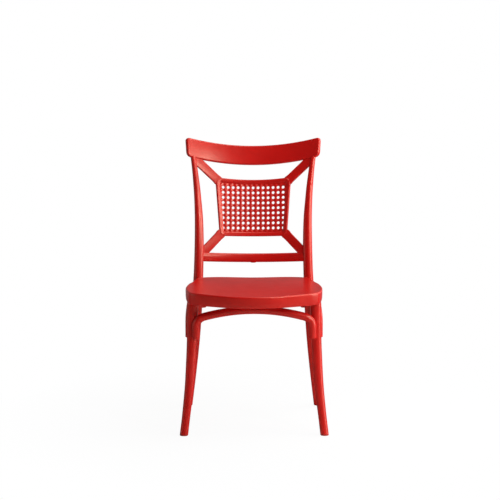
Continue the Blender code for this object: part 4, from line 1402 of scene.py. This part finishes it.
def lit_world(tree, parts, walls, x, y):
    """Soft walls of light: the axis that each one is on, its side and its strength."""
    total = 0.0
    for axis, sign, strength in walls:
        reach = (WALL_START * sign, WALL_END * sign)
        wall = ramp(tree, x, y, parts[axis], 0.0, strength, *reach, "SMOOTHSTEP")
        total = maths(tree, "ADD", x + 200, y, total, wall)
        y -= 60
    inputs = {"Color": (1, 1, 1, 1), "Strength": total}
    return node(tree, "ShaderNodeBackground", x + 550, y, inputs).outputs[0]


world = bpy.data.worlds.new("studio")
bpy.context.scene.world = world
world.use_nodes = True
tree = world.node_tree
tree.nodes.clear()
way = node(tree, "ShaderNodeTexCoord", -1300, -100).outputs["Generated"]
parts = parts_of(tree, -1100, -100, way)
inputs = {"Color": (1, 1, 1, 1), "Strength": 1.0}
white = node(tree, "ShaderNodeBackground", 0, 300, inputs).outputs[0]
fill = lit_world(tree, parts, WORLD, -800, -300)
mirror = lit_world(tree, parts, MIRRORED_WORLD, -800, 0)
in_view, shiny = sight(tree, -300, 500)
lit = mixed(tree, 250, -100, shiny, fill, mirror)
surface = mixed(tree, 500, 0, in_view, lit, white)
node(tree, "ShaderNodeOutputWorld", 750, 0, {"Surface": surface})


def softbox(name, place, width, height, power):
    """A soft rectangular lamp turned towards the chair's middle."""
    light = bpy.data.lights.new(name, "AREA")
    light.shape = "RECTANGLE"
    light.size = width
    light.size_y = height
    light.energy = power
    made = put(name, light)
    made.location = place
    aim = CHAIR_MIDDLE - place
    made.rotation_euler = aim.to_track_quat("-Z", "Y").to_euler()


def around(azimuth, elevation, distance):
    """A place round the chair's middle. Azimuth 0 is in front, and 90 is at its +X side."""
    side = math.radians(azimuth)
    rise = math.radians(elevation)
    flat = distance * math.cos(rise)
    way = Vector((flat * math.sin(side), -flat * math.cos(side), distance * math.sin(rise)))
    return CHAIR_MIDDLE + way


# Azimuth, elevation, power, width and height of each lamp. Most stand at the right.
LAMP_DISTANCE = 2.6
LAMPS = (
    ("key_glint", 38, 27, 15.5, 0.4, 0.8),
    ("key", 66, 24, 17, 1.1, 1.1),
    ("key_side", 76, 6, 19, 1.1, 1.1),
    ("left", -78, 6, 3, 1.1, 1.1),
    ("top", 80, 76, 20, 1.1, 1.1),
    ("right_upper", 92, 50, 20, 1.1, 1.1),
    ("rear_right", 122, 20, 15, 1.1, 1.1),
)
for name, azimuth, elevation, power, width, height in LAMPS:
    softbox(name, around(azimuth, elevation, LAMP_DISTANCE), width, height, power)

IMAGE_SIZE = 500
CAMERA_PLACE = (-0.0563, -6.0 + 0.018 + ORIGIN_Y, 1.5145)
CAMERA_PITCH = math.radians(8.952)
CAMERA_YAW = math.radians(-0.419)
FOCAL_PIXELS = 1888.7

camera_data = bpy.data.cameras.new("camera")
camera_data.sensor_width = 36
camera_data.lens = FOCAL_PIXELS * camera_data.sensor_width / IMAGE_SIZE
camera_data.clip_end = 100
camera = put("camera", camera_data)
camera.location = CAMERA_PLACE
camera.rotation_euler = (math.radians(90) - CAMERA_PITCH, 0, CAMERA_YAW)
bpy.context.scene.camera = camera

bpy.context.scene.view_settings.view_transform = "Standard"
